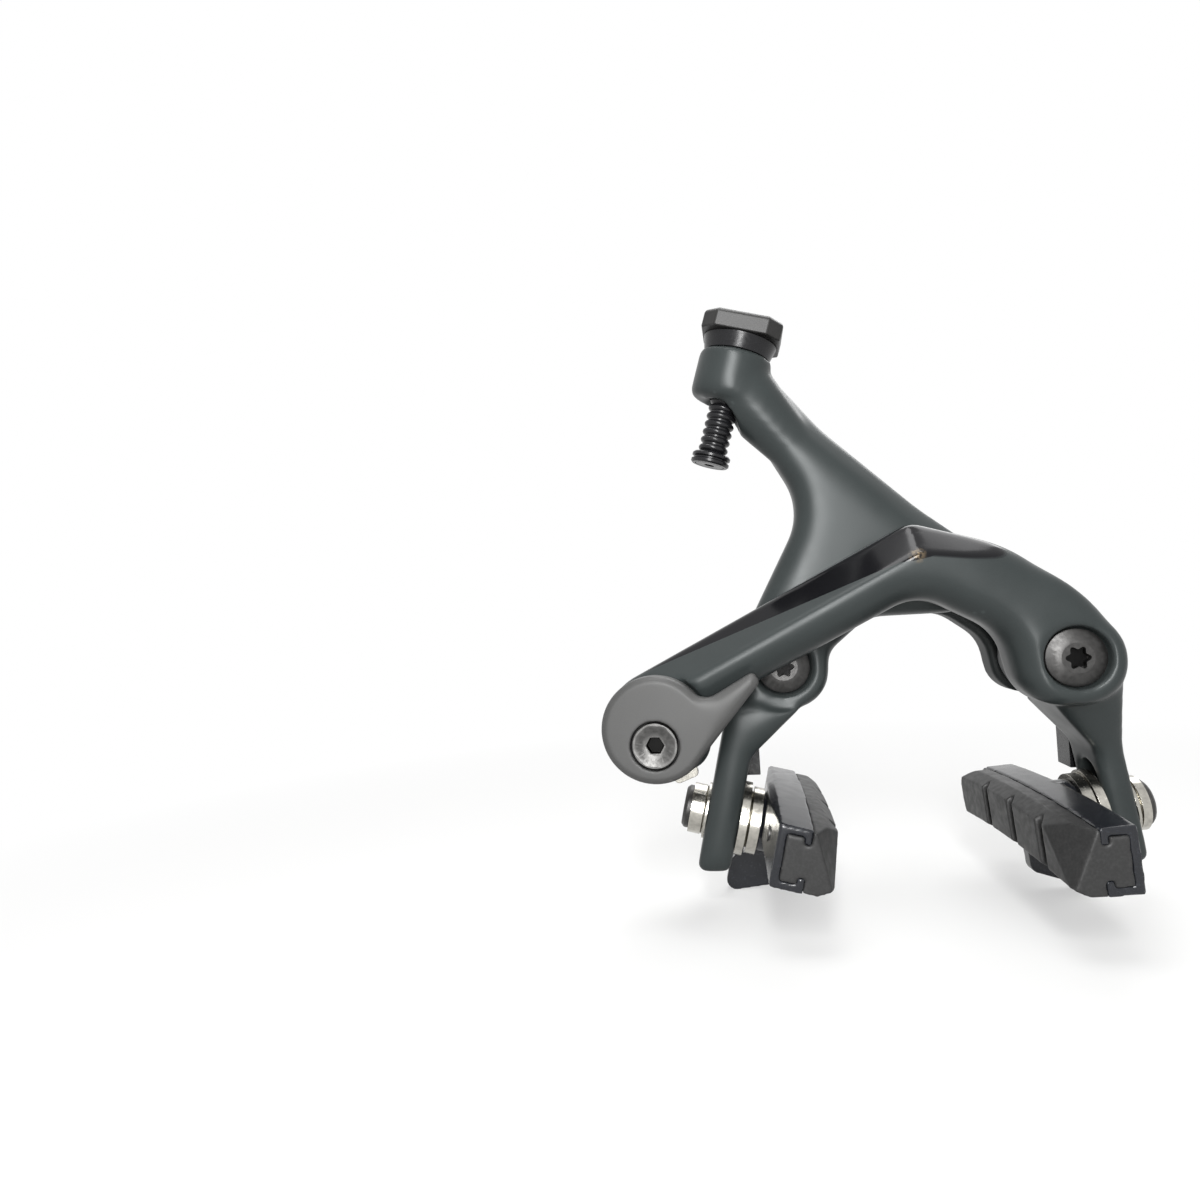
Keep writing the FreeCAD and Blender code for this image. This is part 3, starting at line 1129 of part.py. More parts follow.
for side, name in ((1, "right"), (-1, "left")):
    on_leg = shoe_frame(side, size(name + "_leg_lean"), 0)
    on_shoe = shoe_frame(side, size(name + "_shoe_tilt"), size(name + "_shoe_toe"))
    leg_face = half_leg(side)
    inner_face = -leg_face - size(name + "_stack")
    outer_face = leg_face + size(name + "_outer_stack")
    bore = rod(V(inner_face - PAST, 0, 0), V(outer_face + PAST, 0, 0), size("washer_bore_radius"))
    for place, direction, face in (("inner", -1, inner_face), ("outer", 1, outer_face)):
        convex = size(place + "_convex_radius")
        concave = size(place + "_concave_radius")
        ball = math.hypot(leg_face + size(place + "_convex_rim"), convex)
        ball_shape = Part.makeSphere(ball)
        dome = rod(V(direction * leg_face, 0, 0), V(direction * ball * 1.1, 0, 0), convex)
        flange_face = leg_face + size(place + "_flange")
        flange = rod(V(direction * leg_face, 0, 0), V(direction * flange_face, 0, 0),
                     size(place + "_flange_radius"))
        flanged_dome = dome.common(ball_shape).fuse(flange).cut(bore)
        washer_piece = made("%s_%s_convex_washer" % (name, place), flanged_dome.removeSplitter())
        washer_piece.Placement = on_leg
        cup_start = direction * math.sqrt(ball ** 2 - concave ** 2)
        cup = rod(V(cup_start, 0, 0), V(face, 0, 0), size(place + "_cup_radius"))
        washer_piece = made("%s_%s_concave_washer" % (name, place), cup.cut([ball_shape, bore]))
        washer_piece.Placement = on_shoe
    holder, rear, mouth, screw_seat, closed = shoe_holder(side, inner_face)
    lifted = on_shoe.multiply(FreeCAD.Placement(V(0, 0, size(name + "_shoe_lift")), FreeCAD.Rotation()))
    made(name + "_shoe_holder", holder).Placement = lifted
    made(name + "_brake_pad", brake_pad(side, rear, mouth, closed)).Placement = lifted
    reach = " + ".join(("holder_wall", "holder_bulge", "holder_boss_height", name + "_stack",
                        name + "_leg_thickness", name + "_outer_stack"))
    shoe_bolt = turned(name + "_shoe_bolt", (
        ("0", "0"),
        ("shoe_bolt_radius", "0"),
        ("shoe_bolt_radius", reach),
        ("shoe_head_radius", reach),
        ("shoe_head_radius", reach + " + shoe_head_height - bolt_chamfer"),
        ("shoe_head_radius - bolt_chamfer", reach + " + shoe_head_height"),
        ("0", reach + " + shoe_head_height"),
    ))
    socket(shoe_bolt, "shoe_socket_radius", reach + " + shoe_head_height", "shoe_socket_depth")
    outwards = FreeCAD.Rotation(ALONG_Z, ALONG_X)
    shoe_bolt.Placement = on_shoe.multiply(FreeCAD.Placement(V(rear - wall, 0, 0), outwards))
    pad_screw = node(doc.addObject("Part::Cylinder", name + "_pad_screw"))
    pad_screw.setExpression("Radius", "sizes.pad_screw_radius")
    pad_screw.setExpression("Height", "sizes.pad_screw_length")
    pad_screw.Placement = lifted.multiply(FreeCAD.Placement(screw_seat, outwards))

# Return spring, its seats and the centring screw
wire = size("wire_radius")
spring_depth = bridge_back + wire
spring_out = size("spring_end_out")
spring_end = size("spring_end_drop")
spring_knee = spring_end - size("spring_end_length")
hoop = size("washer_radius") + size("spring_washer_gap") + wire
knee_angle = math.atan2(spring_knee, spring_out)
touch = math.pi - math.acos(hoop / math.hypot(spring_knee, spring_out)) + knee_angle
peak = hoop / math.sin(touch)
spring_path = rounded_path([
    (V(-spring_out, spring_depth, -spring_end), 0),
    (V(-spring_out, spring_depth, -spring_knee), wire * 5),
    (V(0, spring_depth, peak), hoop),
    (V(spring_out, spring_depth, -spring_knee), wire * 5),
    (V(spring_out, spring_depth, -spring_end), 0),
], False)
wire_section = Part.Wire([Part.Circle(V(-spring_out, spring_depth, -spring_end), ALONG_Z, wire).toShape()])
made("return_spring", spring_path.makePipeShell([wire_section], True, False))



def seat_block(side, inside, outside, front, back, foot):
    """A block as high as a spring seat, between two sideways places on one side of the brake."""
    corner = V(min(side * inside, side * outside), front, foot)
    return Part.makeBox(outside - inside, back - front, size("seat_height"), corner)


screw_height = -(spring_end + spring_knee) / 2
screw_depth = spring_depth - wire
slot_front = screw_depth - size("seat_slot_gap")
slot_inside = spring_out - wire - size("seat_slot_gap")
seat_foot = -size("seat_drop") - size("seat_height") / 2
for side, name, gap in ((1, "right", size("centring_tip")), (-1, "left", 0.0)):
    slot_outside = spring_out + wire + gap
    seat = seat_block(side, slot_inside - size("seat_cheek"), slot_outside + size("seat_wall"),
                      -size("leg_back"), -size("seat_clear"), seat_foot)
    seat = seat.cut(seat_block(side, slot_inside, slot_outside, slot_front, 0, -spring_end))
    if side > 0:
        screw_end = V(spring_out, screw_depth, screw_height)
        screw_hole = size("centring_radius") + size("centring_thread_gap")
        seat = seat.cut(rod(screw_end, screw_end + ALONG_X * spring_out, screw_hole))
    made(name + "_spring_seat", seat)
put(turned("centring_screw", (
    ("0", "0"),
    ("centring_radius", "0"),
    ("centring_radius", "centring_tip + seat_wall"),
    ("centring_head_radius", "centring_tip + seat_wall"),
    ("centring_head_radius", "centring_tip + seat_wall + centring_head_height"),
    ("0", "centring_tip + seat_wall + centring_head_height"),
)), V(spring_out + wire, screw_depth, screw_height), ALONG_X)

# Check every object, then write each piece out
doc.recompute()
for item in doc.Objects:
    if "Invalid" in item.State or "Error" in item.State:
        raise ValueError("%s is not sound: %s" % (item.Label, item.State))
for item in NODES:
    if item.Shape.isNull() or not item.Shape.isValid() or not item.Shape.Solids:
        raise ValueError("%s has no sound solid" % item.Label)
    item.Shape.exportStep("parts/%s.step" % item.Label)
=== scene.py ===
"""Looks of a dual-pivot caliper brake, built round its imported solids."""

import json
import math
from functools import cache

import bmesh
import bpy
from mathutils import Matrix, Vector


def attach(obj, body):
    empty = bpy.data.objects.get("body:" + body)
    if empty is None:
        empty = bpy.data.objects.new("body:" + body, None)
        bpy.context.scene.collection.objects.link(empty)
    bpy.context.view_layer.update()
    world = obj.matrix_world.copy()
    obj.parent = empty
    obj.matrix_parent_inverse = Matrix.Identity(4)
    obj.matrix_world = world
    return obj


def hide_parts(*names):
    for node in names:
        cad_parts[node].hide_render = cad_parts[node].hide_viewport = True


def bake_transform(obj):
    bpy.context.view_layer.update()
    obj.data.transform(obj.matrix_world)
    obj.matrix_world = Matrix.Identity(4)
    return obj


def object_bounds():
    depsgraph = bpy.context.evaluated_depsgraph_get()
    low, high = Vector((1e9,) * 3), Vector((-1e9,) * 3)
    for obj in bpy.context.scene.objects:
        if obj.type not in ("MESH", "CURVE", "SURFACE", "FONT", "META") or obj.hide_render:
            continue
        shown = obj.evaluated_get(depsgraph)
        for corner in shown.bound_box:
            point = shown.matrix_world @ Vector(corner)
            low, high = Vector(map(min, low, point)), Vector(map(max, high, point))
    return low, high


bl_info = {
    "name": "Caliper brake looks",
    "version": (1, 0, 0),
    "blender": (4, 5, 0),
    "location": "View3D > Sidebar > Brake",
    "description": "Finishes, small parts and studio of a dual-pivot caliper brake",
    "category": "Object",
}

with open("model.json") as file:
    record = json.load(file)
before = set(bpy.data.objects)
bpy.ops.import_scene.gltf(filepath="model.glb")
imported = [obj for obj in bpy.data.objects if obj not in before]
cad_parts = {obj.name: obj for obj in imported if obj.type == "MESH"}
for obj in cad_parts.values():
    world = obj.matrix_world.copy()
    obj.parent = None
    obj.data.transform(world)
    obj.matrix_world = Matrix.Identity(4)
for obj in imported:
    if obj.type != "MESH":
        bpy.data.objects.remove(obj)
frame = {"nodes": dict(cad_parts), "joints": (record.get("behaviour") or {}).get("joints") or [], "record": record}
NODES = frame["nodes"]
SOLIDS_BOX = [list(corner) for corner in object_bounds()]
BODY_OF = {node: body for body, nodes in frame["record"]["behaviour"]["bodies"].items() for node in nodes}
SLOT_OF = {part["node"]: part["material_slot"] for part in frame["record"]["subparts"]}
JOINT = {joint["name"]: joint for joint in frame["joints"]}
MM = 0.001


def mm(*numbers):
    """A point given in millimetres."""
    return Vector(numbers) * MM


def joint_place(name):
    """Where a joint of the frame sits."""
    return Vector(JOINT[name]["pos_m"])


def head_centre(node):
    """The middle of the front of a bolt that points to the front."""
    corners = [vertex.co for vertex in NODES[node].data.vertices]
    low = [min(corner[k] for corner in corners) for k in range(3)]
    high = [max(corner[k] for corner in corners) for k in range(3)]
    return Vector(((low[0] + high[0]) / 2, low[1], (low[2] + high[2]) / 2))


# Axes that the arms, the lever and the adjuster turn on

RIGHT_PIVOT = joint_place("front_arm_pivot")
LEFT_PIVOT = joint_place("rear_arm_pivot")
CLAMP_AXIS = joint_place("quick_release_turn")
ADJUSTER_FOOT = joint_place("adjuster_knob_turn")
ADJUSTER_AXIS = Vector(JOINT["adjuster_knob_turn"]["axis"]).normalized()

# Crown of the front arm and the gloss panel on top of it, which narrows to the left

CROWN_RIDGE = mm(-0.184, -29.2, 2.971)
RIDGE_ROUNDING = 0.7 * MM
BAR_SLOPE = math.radians(26.4)
CROWN_FALL = math.radians(8.3)
PANEL_LENGTH = 56.0 * MM
PANEL_RISE = mm(0, 7.0, 6.029)
PANEL_BLUR = 0.25
PANEL_CUT_BLUR = 0.12
CHIP_PLACE = CROWN_RIDGE + mm(-0.4, 0.4, -0.3)
CHIP_RADII = (0.3, 1.7)

# Where the rounding of the arms and the lever fades in, in millimetres

BELOW_PANEL = (1.0, 4.5)
OFF_RIGHT_PIVOT = (7.0, 11.0)
OFF_LEFT_PIVOT = (7.5, 11.0)
OFF_LEVER_SEAT = (9.5, 13.0)
OFF_LEVER_DISC = (8.5, 12.0)
BELOW_BOSS_TOP = (-8.0, 0.0)
BELOW_BORE = (1.0, 3.0)
OFF_BORE = (3.8, 6.0)

# Driving recesses of the bolts; the shades are radii in millimetres

STAR_LOBES = 6
STAR_LOBE = 0.17
STAR_MIDDLE = 1.75 * MM
STAR_PLUG = 2.6 * MM
STAR_DEPTH = 1.5 * MM
STAR_FLOOR = 0.3 * MM
STAR_PROUD = 0.02 * MM
STAR_SHADE = (1.85, 2.15)
CLAMP_SOCKET = head_centre("cable_clamp_bolt") + mm(0, 2.0, 0)
CLAMP_SOCKET_SHADE = (1.65, 1.9)
# How dark the painted shade at the bottom of a recess is
PAINTED_RECESS_SHADE = 0.08

# Adjuster barrel and the ring at its foot: radii and heights in millimetres

BARREL_DROP = 12.6
BARREL_LENGTH = 28.1
BARREL_OUTSIDE = 2.92
BARREL_CHAMFER = 0.2
BARREL_BORE = 1.0
BARREL_SOCKET = 2.3
BARREL_SOCKET_FOOT = 18.1
RIDGED_FROM = 2.3
RIDGED_TO = 12.5
RIDGES = 6
RIDGE_FOOT = 2.6
RIDGE_PITCH = 1.6
RIDGE_GROOVE = 2.42
RIDGE_SHOULDER = 2.74
RIDGE_PROFILE = (
    (RIDGE_GROOVE, 0.0), (RIDGE_SHOULDER, 0.2), (BARREL_OUTSIDE, 0.5),
    (BARREL_OUTSIDE, 0.8), (RIDGE_SHOULDER, 1.1), (RIDGE_GROOVE, 1.3),
)
RING_HEIGHT = 2.2
RING_LOWER_HALF = ((BARREL_OUTSIDE, 0.0), (3.5, 0.0), (3.8, 0.3), (3.8, 0.75), (3.35, 1.0))

# Meshes

WELD = 0.002 * MM
CUT = 0.001 * MM
ROUND_STEPS = 96
SMOOTHING = 0.5
ROUNDING_PASSES = 160
FLAT_ANGLE = math.radians(0.6)
SHARP_ANGLE = math.radians(35)
WIRE_SHARP_ANGLE = math.radians(50)
EDGE_ANGLE = math.radians(40)

# Studio; the floor's radii for its fading are in millimetres

CAMERA_PLACE = mm(-31.52, -175.26, -5.38)
CAMERA_FORWARD = Vector((-0.1713, 0.9849, 0.0242)).normalized()
CAMERA_RIGHT = Vector((0.9833, 0.1724, -0.0579))
CAMERA_LENS = 24.0
CAMERA_SENSOR = 36.0
CAMERA_NEAR = 2.0 * MM
BRAKE_MIDDLE = mm(-8, -15, -5)
FLOOR_MIDDLE = mm(0, -15.0, -58.0)
FLOOR_RADIUS = 3.0
FLOOR_GAP = 0.05 * MM
FLOOR_FADE = (60.0, 260.0)
FLOOR_WHITE_NEAR = 0.5
FLOOR_THROW = 0.2
WHITE = (1.0, 1.0, 1.0, 1.0)
SKY_TINT = (0.95, 0.97, 1.0, 1.0)


# Settings that a user would change


def colour(name, description, red, green, blue):
    """A colour setting."""
    return bpy.props.FloatVectorProperty(
        name=name, description=description, default=(red, green, blue), subtype="COLOR", min=0.0, max=1.0)


def length(name, description, millimetres):
    """A length setting."""
    return bpy.props.FloatProperty(
        name=name, description=description, default=millimetres * MM, unit="LENGTH", precision=5)


def power(name, description, watts):
    """A lamp's setting."""
    return bpy.props.FloatProperty(name=name, description=description, default=watts, unit="POWER")


def share(name, description, default):
    """A setting between nought and one."""
    return bpy.props.FloatProperty(
        name=name, description=description, default=default, subtype="FACTOR", min=0.0, max=1.0)


class BrakeColours(bpy.types.PropertyGroup):
    """Colours of the brake's finishes."""

    arm: colour("Arms", "Satin paint of the two arms", 0.028, 0.033, 0.033)
    panel: colour("Top panel", "Gloss paint on top of the front arm", 0.006, 0.006, 0.007)
    chip: colour("Chip", "Metal where the paint of the crown is chipped", 0.14, 0.105, 0.065)
    lever: colour("Lever", "Satin paint of the quick-release lever", 0.066, 0.066, 0.065)
    bolt: colour("Dark bolts", "Blackened steel of the bolts", 0.052, 0.051, 0.050)
    nickel: colour("Bright washers", "Nickel of the shoe washers", 0.44, 0.425, 0.385)
    holder: colour("Holders", "Gloss paint of the shoe holders", 0.010, 0.011, 0.014)
    rubber: colour("Pads", "Rubber of the brake pads", 0.020, 0.020, 0.020)
    knob: colour("Knob", "Adjuster knob", 0.012, 0.0117, 0.0114)
    clamp: colour("Clamp bolt", "Grey steel of the cable clamp bolt", 0.085, 0.084, 0.082)
    barrel: colour("Barrel", "Adjuster barrel and collar", 0.008, 0.008, 0.009)
    bronze: colour("Bushes", "Pivot bushes", 0.40, 0.26, 0.12)
    floor: colour("Floor", "Pale floor", 0.82, 0.82, 0.81)


class BrakeSizes(bpy.types.PropertyGroup):
    """Sizes of the details that the solids leave out."""

    arm_grain: length("Arm mesh", "Mesh pitch of the arms and the bridge", 0.42)
    small_grain: length("Small mesh", "Mesh pitch of the lever and the shoes", 0.28)
    knob_edge: length("Knob edge", "Rounded edge of the adjuster knob", 0.35)
    edge: length("Small edge", "Rounded edge of bolts and washers", 0.16)


class BrakeLight(bpy.types.PropertyGroup):
    """Strength of the studio light."""

    key: power("Key", "Tall light in front of the brake", 2.5)
    top: power("Top", "Light above the brake", 1.1)
    rim: power("Rim", "Light behind the brake", 1.9)
    sky: share("Sky", "Soft light from all round", 0.03)


def colours():
    """The colour settings."""
    return bpy.context.scene.brake_colours


def sizes():
    """The size settings."""
    return bpy.context.scene.brake_sizes


# Materials


class Finish:
    """A material with one Principled shader, and short calls that add nodes to it."""

    def __init__(self, name, base, metallic=0.0):
        self.material = bpy.data.materials.new(name)
        self.material.use_nodes = True
        self.tree = self.material.node_tree
        self.shader = self.tree.nodes["Principled BSDF"]
        self.place = self.add("ShaderNodeTexCoord").outputs["Object"]
        self.set("Base Color", (*base, 1.0))
        self.set("Metallic", metallic)

    def add(self, kind, inputs=(), **settings):
        """A new node with its settings and inputs, each a value or a socket to link."""
        node = self.tree.nodes.new(kind)
        for name, value in settings.items():
            setattr(node, name, value)
        for name, value in dict(inputs).items():
            self.feed(node.inputs[name], value)
        return node

    def feed(self, socket, value):
        """Links a socket, or sets its value."""
        if isinstance(value, bpy.types.NodeSocket):
            self.tree.links.new(value, socket)
        else:
            socket.default_value = value

    def set(self, name, value):
        """Sets or links one of the shader's own inputs."""
        self.feed(self.shader.inputs[name], value)

    def noise(self, size, detail):
        """Noise whose features are about this many millimetres across."""
        inputs = {"Vector": self.place, "Scale": 1.0 / (size * MM), "Detail": detail}
        return self.add("ShaderNodeTexNoise", inputs).outputs[0]

    def spread(self, value, low, high, to_low, to_high):
        """A value mapped from one range to another, held at both ends."""
        return self.add("ShaderNodeMapRange", {"Value": value, "From Min": low, "From Max": high,
                                               "To Min": to_low, "To Max": to_high}).outputs[0]

    def patches(self, size, detail, low, high, most=1.0):
        """Soft patches of this many millimetres: nought where the noise is low, the most where it is high."""
        return self.spread(self.noise(size, detail), low, high, 0.0, most)

    def uneven(self, size, detail, least, most):
        """A value that wanders between two others over this many millimetres."""
        return self.spread(self.noise(size, detail), 0.3, 0.7, least, most)

    def math(self, operation, first, second):
        """One sum on two values."""
        return self.add("ShaderNodeMath", {0: first, 1: second}, operation=operation).outputs[0]

    def measure(self, operation, point):
        """A number worked out from the place on the surface and a point or direction."""
        inputs = {0: self.place, 1: tuple(point)}
        return self.add("ShaderNodeVectorMath", inputs, operation=operation).outputs[1]

    def blend(self, amount, first, second):
        """One colour turning into another."""
        node = self.add("ShaderNodeMix", {"Factor": amount}, data_type="RGBA")
        self.feed(node.inputs[6], first)
        self.feed(node.inputs[7], second)
        return node.outputs[2]

    def relief(self, size, detail, depth, strength=1.0):
        """Fine relief of the surface, its width and depth in millimetres."""
        inputs = {"Height": self.noise(size, detail), "Distance": depth * MM, "Strength": strength}
        self.set("Normal", self.add("ShaderNodeBump", inputs).outputs[0])

    def above_plane(self, point, normal, blur):
        """One on a plane and nought below it, turning over this many millimetres."""
        height = normal.dot(point)
        level = self.measure("DOT_PRODUCT", normal)
        return self.spread(level, height - 2 * blur * MM, height - blur * MM, 0.0, 1.0)

    def near(self, point, inner, outer):
        """One near a point and nought away from it, radii in millimetres."""
        return self.spread(self.measure("DISTANCE", point), inner * MM, outer * MM, 1.0, 0.0)

    def edge_wear_and_highlight(self, low, high):
        """One on the sharpest edges of a dense mesh, where edge wear and painted edge highlights go."""
        edge = self.add("ShaderNodeNewGeometry").outputs["Pointiness"]
        return self.spread(edge, low, high, 0.0, 1.0)


def shaded(base, factor):
    """A colour made lighter or darker."""
    return tuple(channel * factor for channel in base) + (1.0,)


def satin_paint(name, base):
    """Satin metallic paint with a fine grain, soft clouding and slightly paler sharp edges, which are a painted
    edge highlight as well as wear, and its colour.
    """
    finish = Finish(name, base, metallic=0.1)
    finish.set("Specular IOR Level", 0.22)
    cloud = finish.patches(16.0, 3.0, 0.35, 0.65)
    grain = finish.patches(0.25, 2.0, 0.3, 0.7, most=0.35)
    body = finish.blend(cloud, shaded(base, 0.94), shaded(base, 1.06))
    body = finish.blend(grain, body, shaded(base, 1.18))
    # Paler sharp edges: a painted edge highlight, partly edge wear
    body = finish.blend(finish.edge_wear_and_highlight(0.56, 0.66), body, shaded(base, 1.5))
    return finish, body


@cache
def rear_arm_paint():
    """Satin grey of the rear arm."""
    finish, body = satin_paint("satin_grey_rear", colours().arm)
    finish.set("Base Color", body)
    finish.set("Roughness", finish.uneven(6.0, 4.0, 0.31, 0.38))
    finish.relief(0.22, 2.0, 0.003)
    return finish.material


def panel_mask(finish):
    """One on the gloss panel: two slopes that meet at the crown's ridge, the left one cut to a point."""
    left_run = Vector((math.cos(BAR_SLOPE), 0, math.sin(BAR_SLOPE)))
    right_run = Vector((math.cos(CROWN_FALL), 0, -math.sin(CROWN_FALL)))
    left_face = left_run.cross(PANEL_RISE).normalized()
    right_face = right_run.cross(PANEL_RISE).normalized()
    far_end = PANEL_RISE - left_run * PANEL_LENGTH
    cut_face = far_end.cross(left_face).normalized()
    fold = (left_face + right_face).normalized()
    left = finish.math("MULTIPLY", finish.above_plane(CROWN_RIDGE, left_face, PANEL_BLUR),
                       finish.above_plane(CROWN_RIDGE, cut_face, PANEL_CUT_BLUR))
    right = finish.above_plane(CROWN_RIDGE, right_face, PANEL_BLUR)
    crest = finish.above_plane(CROWN_RIDGE - fold * RIDGE_ROUNDING, fold, PANEL_CUT_BLUR)
    return finish.math("MAXIMUM", crest, finish.math("MAXIMUM", left, right))


@cache
def front_arm_paint():
    """Satin grey of the front arm with its gloss black top panel and a chip worn down to the metal."""
    finish, body = satin_paint("satin_grey_front", colours().arm)
    panel = panel_mask(finish)
    chip = finish.math("MULTIPLY", finish.near(CHIP_PLACE, *CHIP_RADII), finish.patches(0.6, 4.0, 0.40, 0.56))
    coat = finish.blend(panel, body, shaded(colours().panel, 1.0))
    finish.set("Base Color", finish.blend(chip, coat, shaded(colours().chip, 1.0)))
    satin = finish.uneven(6.0, 4.0, 0.31, 0.38)
    finish.set("Roughness", finish.add("ShaderNodeMix", {0: panel, 2: satin, 3: 0.12}).outputs[0])
    finish.relief(0.22, 2.0, 0.003, finish.math("SUBTRACT", 1.0, panel))
    return finish.material


@cache
def lever_paint():
    """Satin grey of the quick-release lever."""
    finish, body = satin_paint("satin_warm_grey", colours().lever)
    finish.set("Base Color", body)
    finish.set("Roughness", 0.45)
    finish.relief(0.14, 2.0, 0.010)
    return finish.material


@cache
def dark_steel():
    """Blackened steel, slightly smeared, with painted shade at the bottom of the pivot bolts' recesses."""
    base = colours().bolt
    finish = Finish("blackened_steel", base, metallic=0.9)
    body = finish.blend(finish.patches(0.9, 4.0, 0.35, 0.7), shaded(base, 0.88), shaded(base, 1.2))
    # Painted shade at the bottom of each pivot bolt's star recess
    for side in ("right", "left"):
        bottom = head_centre(side + "_pivot_bolt") + Vector((0, STAR_DEPTH, 0))
        body = finish.blend(finish.near(bottom, *STAR_SHADE), body, shaded(base, PAINTED_RECESS_SHADE))
    finish.set("Base Color", body)
    finish.set("Roughness", finish.uneven(0.5, 3.0, 0.36, 0.46))
    finish.relief(0.1, 2.0, 0.002)
    return finish.material


@cache
def nickel():
    """Bright nickel with handling marks."""
    base = colours().nickel
    finish = Finish("bright_nickel", base, metallic=1.0)
    tarnish = finish.patches(1.2, 5.0, 0.45, 0.75)
    finish.set("Base Color", finish.blend(tarnish, shaded(base, 1.0), shaded(base, 0.7)))
    finish.set("Roughness", finish.uneven(0.4, 4.0, 0.16, 0.28))
    finish.relief(0.12, 2.0, 0.002)
    return finish.material


@cache
def clamp_steel():
    """Grey steel of the cable clamp bolt, slightly rubbed, with painted shade at the bottom of its socket."""
    base = colours().clamp
    finish = Finish("grey_clamp_steel", base, metallic=1.0)
    body = finish.blend(finish.patches(0.7, 4.0, 0.4, 0.7), shaded(base, 0.9), shaded(base, 1.25))
    # Painted shade at the bottom of the clamp bolt's socket
    bottom = finish.near(CLAMP_SOCKET, *CLAMP_SOCKET_SHADE)
    finish.set("Base Color", finish.blend(bottom, body, shaded(base, PAINTED_RECESS_SHADE)))
    finish.set("Roughness", finish.uneven(0.3, 3.0, 0.38, 0.48))
    return finish.material


@cache
def bronze():
    """Stained bearing bronze."""
    base = colours().bronze
    finish = Finish("bearing_bronze", base, metallic=1.0)
    stain = finish.patches(1.5, 3.0, 0.4, 0.7)
    finish.set("Base Color", finish.blend(stain, shaded(base, 1.0), shaded(base, 0.6)))
    finish.set("Roughness", 0.35)
    return finish.material


@cache
def bridge_paint():
    """Dark satin of the bridge behind the arms."""
    base = tuple(channel * 0.6 for channel in colours().arm)
    finish, body = satin_paint("satin_dark_bridge", base)
    finish.set("Base Color", body)
    finish.set("Roughness", 0.48)
    finish.relief(0.18, 2.0, 0.012)
    return finish.material


@cache
def holder_paint():
    """Gloss blue-black of the shoe holders, scuffed along their edges."""
    base = colours().holder
    finish = Finish("gloss_blue_black", base)
    finish.set("Specular IOR Level", 0.4)
    edge = finish.math("MULTIPLY", finish.edge_wear_and_highlight(0.55, 0.63), 0.5)
    scuff = finish.math("MAXIMUM", edge, finish.patches(0.5, 5.0, 0.58, 0.75, most=0.3))
    finish.set("Base Color", finish.blend(scuff, shaded(base, 1.0), shaded(base, 5.0)))
    finish.set("Roughness", finish.uneven(2.5, 4.0, 0.16, 0.26))
    finish.relief(0.4, 2.0, 0.002)
    return finish.material


@cache
def pad_rubber():
    """Dark rubber with a dusty bloom."""
    base = colours().rubber
    finish = Finish("brake_rubber", base)
    finish.set("Specular IOR Level", 0.35)
    dust = finish.patches(0.45, 5.0, 0.4, 0.75)
    finish.set("Base Color", finish.blend(dust, shaded(base, 0.85), shaded(base, 1.35)))
    finish.set("Roughness", finish.uneven(1.5, 4.0, 0.42, 0.58))
    finish.relief(0.15, 3.0, 0.006)
    return finish.material


@cache
def knob_plastic():
    """Brown-grey of the moulded knob, softly clouded."""
    base = colours().knob
    finish = Finish("moulded_brown_grey", base)
    finish.set("Specular IOR Level", 0.3)
    cloud = finish.patches(3.0, 4.0, 0.35, 0.7)
    finish.set("Base Color", finish.blend(cloud, shaded(base, 0.85), shaded(base, 1.3)))
    finish.set("Roughness", 0.42)
    finish.relief(0.12, 3.0, 0.005)
    return finish.material


@cache
def barrel_plastic():
    """Near-black gloss of the barrel, its end ring and its collar."""
    finish = Finish("gloss_black_barrel", colours().barrel)
    finish.set("Specular IOR Level", 0.3)
    finish.set("Roughness", finish.uneven(0.6, 3.0, 0.2, 0.34))
    return finish.material


@cache
def pale_floor():
    """Pale floor that the camera sees turn white away from the brake, and that throws little light back."""
    tint = colours().floor
    finish = Finish("pale_floor", tint)
    finish.set("Roughness", 0.9)
    rays = finish.add("ShaderNodeLightPath").outputs
    mirrored = finish.math("MAXIMUM", rays["Is Glossy Ray"], rays["Is Transmission Ray"])
    seen = finish.math("MAXIMUM", rays["Is Camera Ray"], mirrored)
    pale = finish.blend(finish.noise(0.8, 3.0), shaded(tint, 0.98), shaded(tint, 1.0))
    finish.set("Base Color", finish.blend(seen, shaded(tint, FLOOR_THROW), pale))
    away = finish.spread(finish.near(FLOOR_MIDDLE, *FLOOR_FADE), 0.0, 1.0, 1.0, FLOOR_WHITE_NEAR)
    white = finish.add("ShaderNodeEmission", {"Color": WHITE, "Strength": 1.0})
    mixed = finish.add("ShaderNodeMixShader", {0: finish.math("MULTIPLY", seen, away),
                                               1: finish.shader.outputs[0], 2: white.outputs[0]})
    finish.feed(finish.tree.nodes["Material Output"].inputs["Surface"], mixed.outputs[0])
    return finish.material


FINISH_OF_SLOT = {
    "arm_paint": rear_arm_paint,
    "lever_paint": lever_paint,
    "bridge_paint": bridge_paint,
    "dark_steel": dark_steel,
    "bright_steel": nickel,
    "bush_bronze": bronze,
    "holder_paint": holder_paint,
    "pad_rubber": pad_rubber,
    "black_plastic": barrel_plastic,
    "ring_metal": barrel_plastic,
    "knob_plastic": knob_plastic,
}


# Making pieces


def piece(name, mesh, node, finish=None, stands_for=True):
    """A finished piece that rides with a node's body, takes its slot and, if asked, stands for it."""
    obj = bpy.data.objects.new(name, mesh)
    bpy.context.scene.collection.objects.link(obj)
    mesh.materials.clear()
    mesh.materials.append((finish or FINISH_OF_SLOT[SLOT_OF[node]])())
    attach(obj, BODY_OF[node])
    if stands_for:
        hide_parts(node)
    return obj


def mesh_of(work, name):
    """The mesh that a bmesh becomes."""
    mesh = bpy.data.meshes.new(name)
    work.to_mesh(mesh)
    work.free()
    return mesh


def merged(node):
    """A copy of a node's mesh with its loose triangles joined."""
    work = bmesh.new()
    work.from_mesh(NODES[node].data)
    bmesh.ops.remove_doubles(work, verts=work.verts, dist=WELD)
    return mesh_of(work, node + "_mesh")


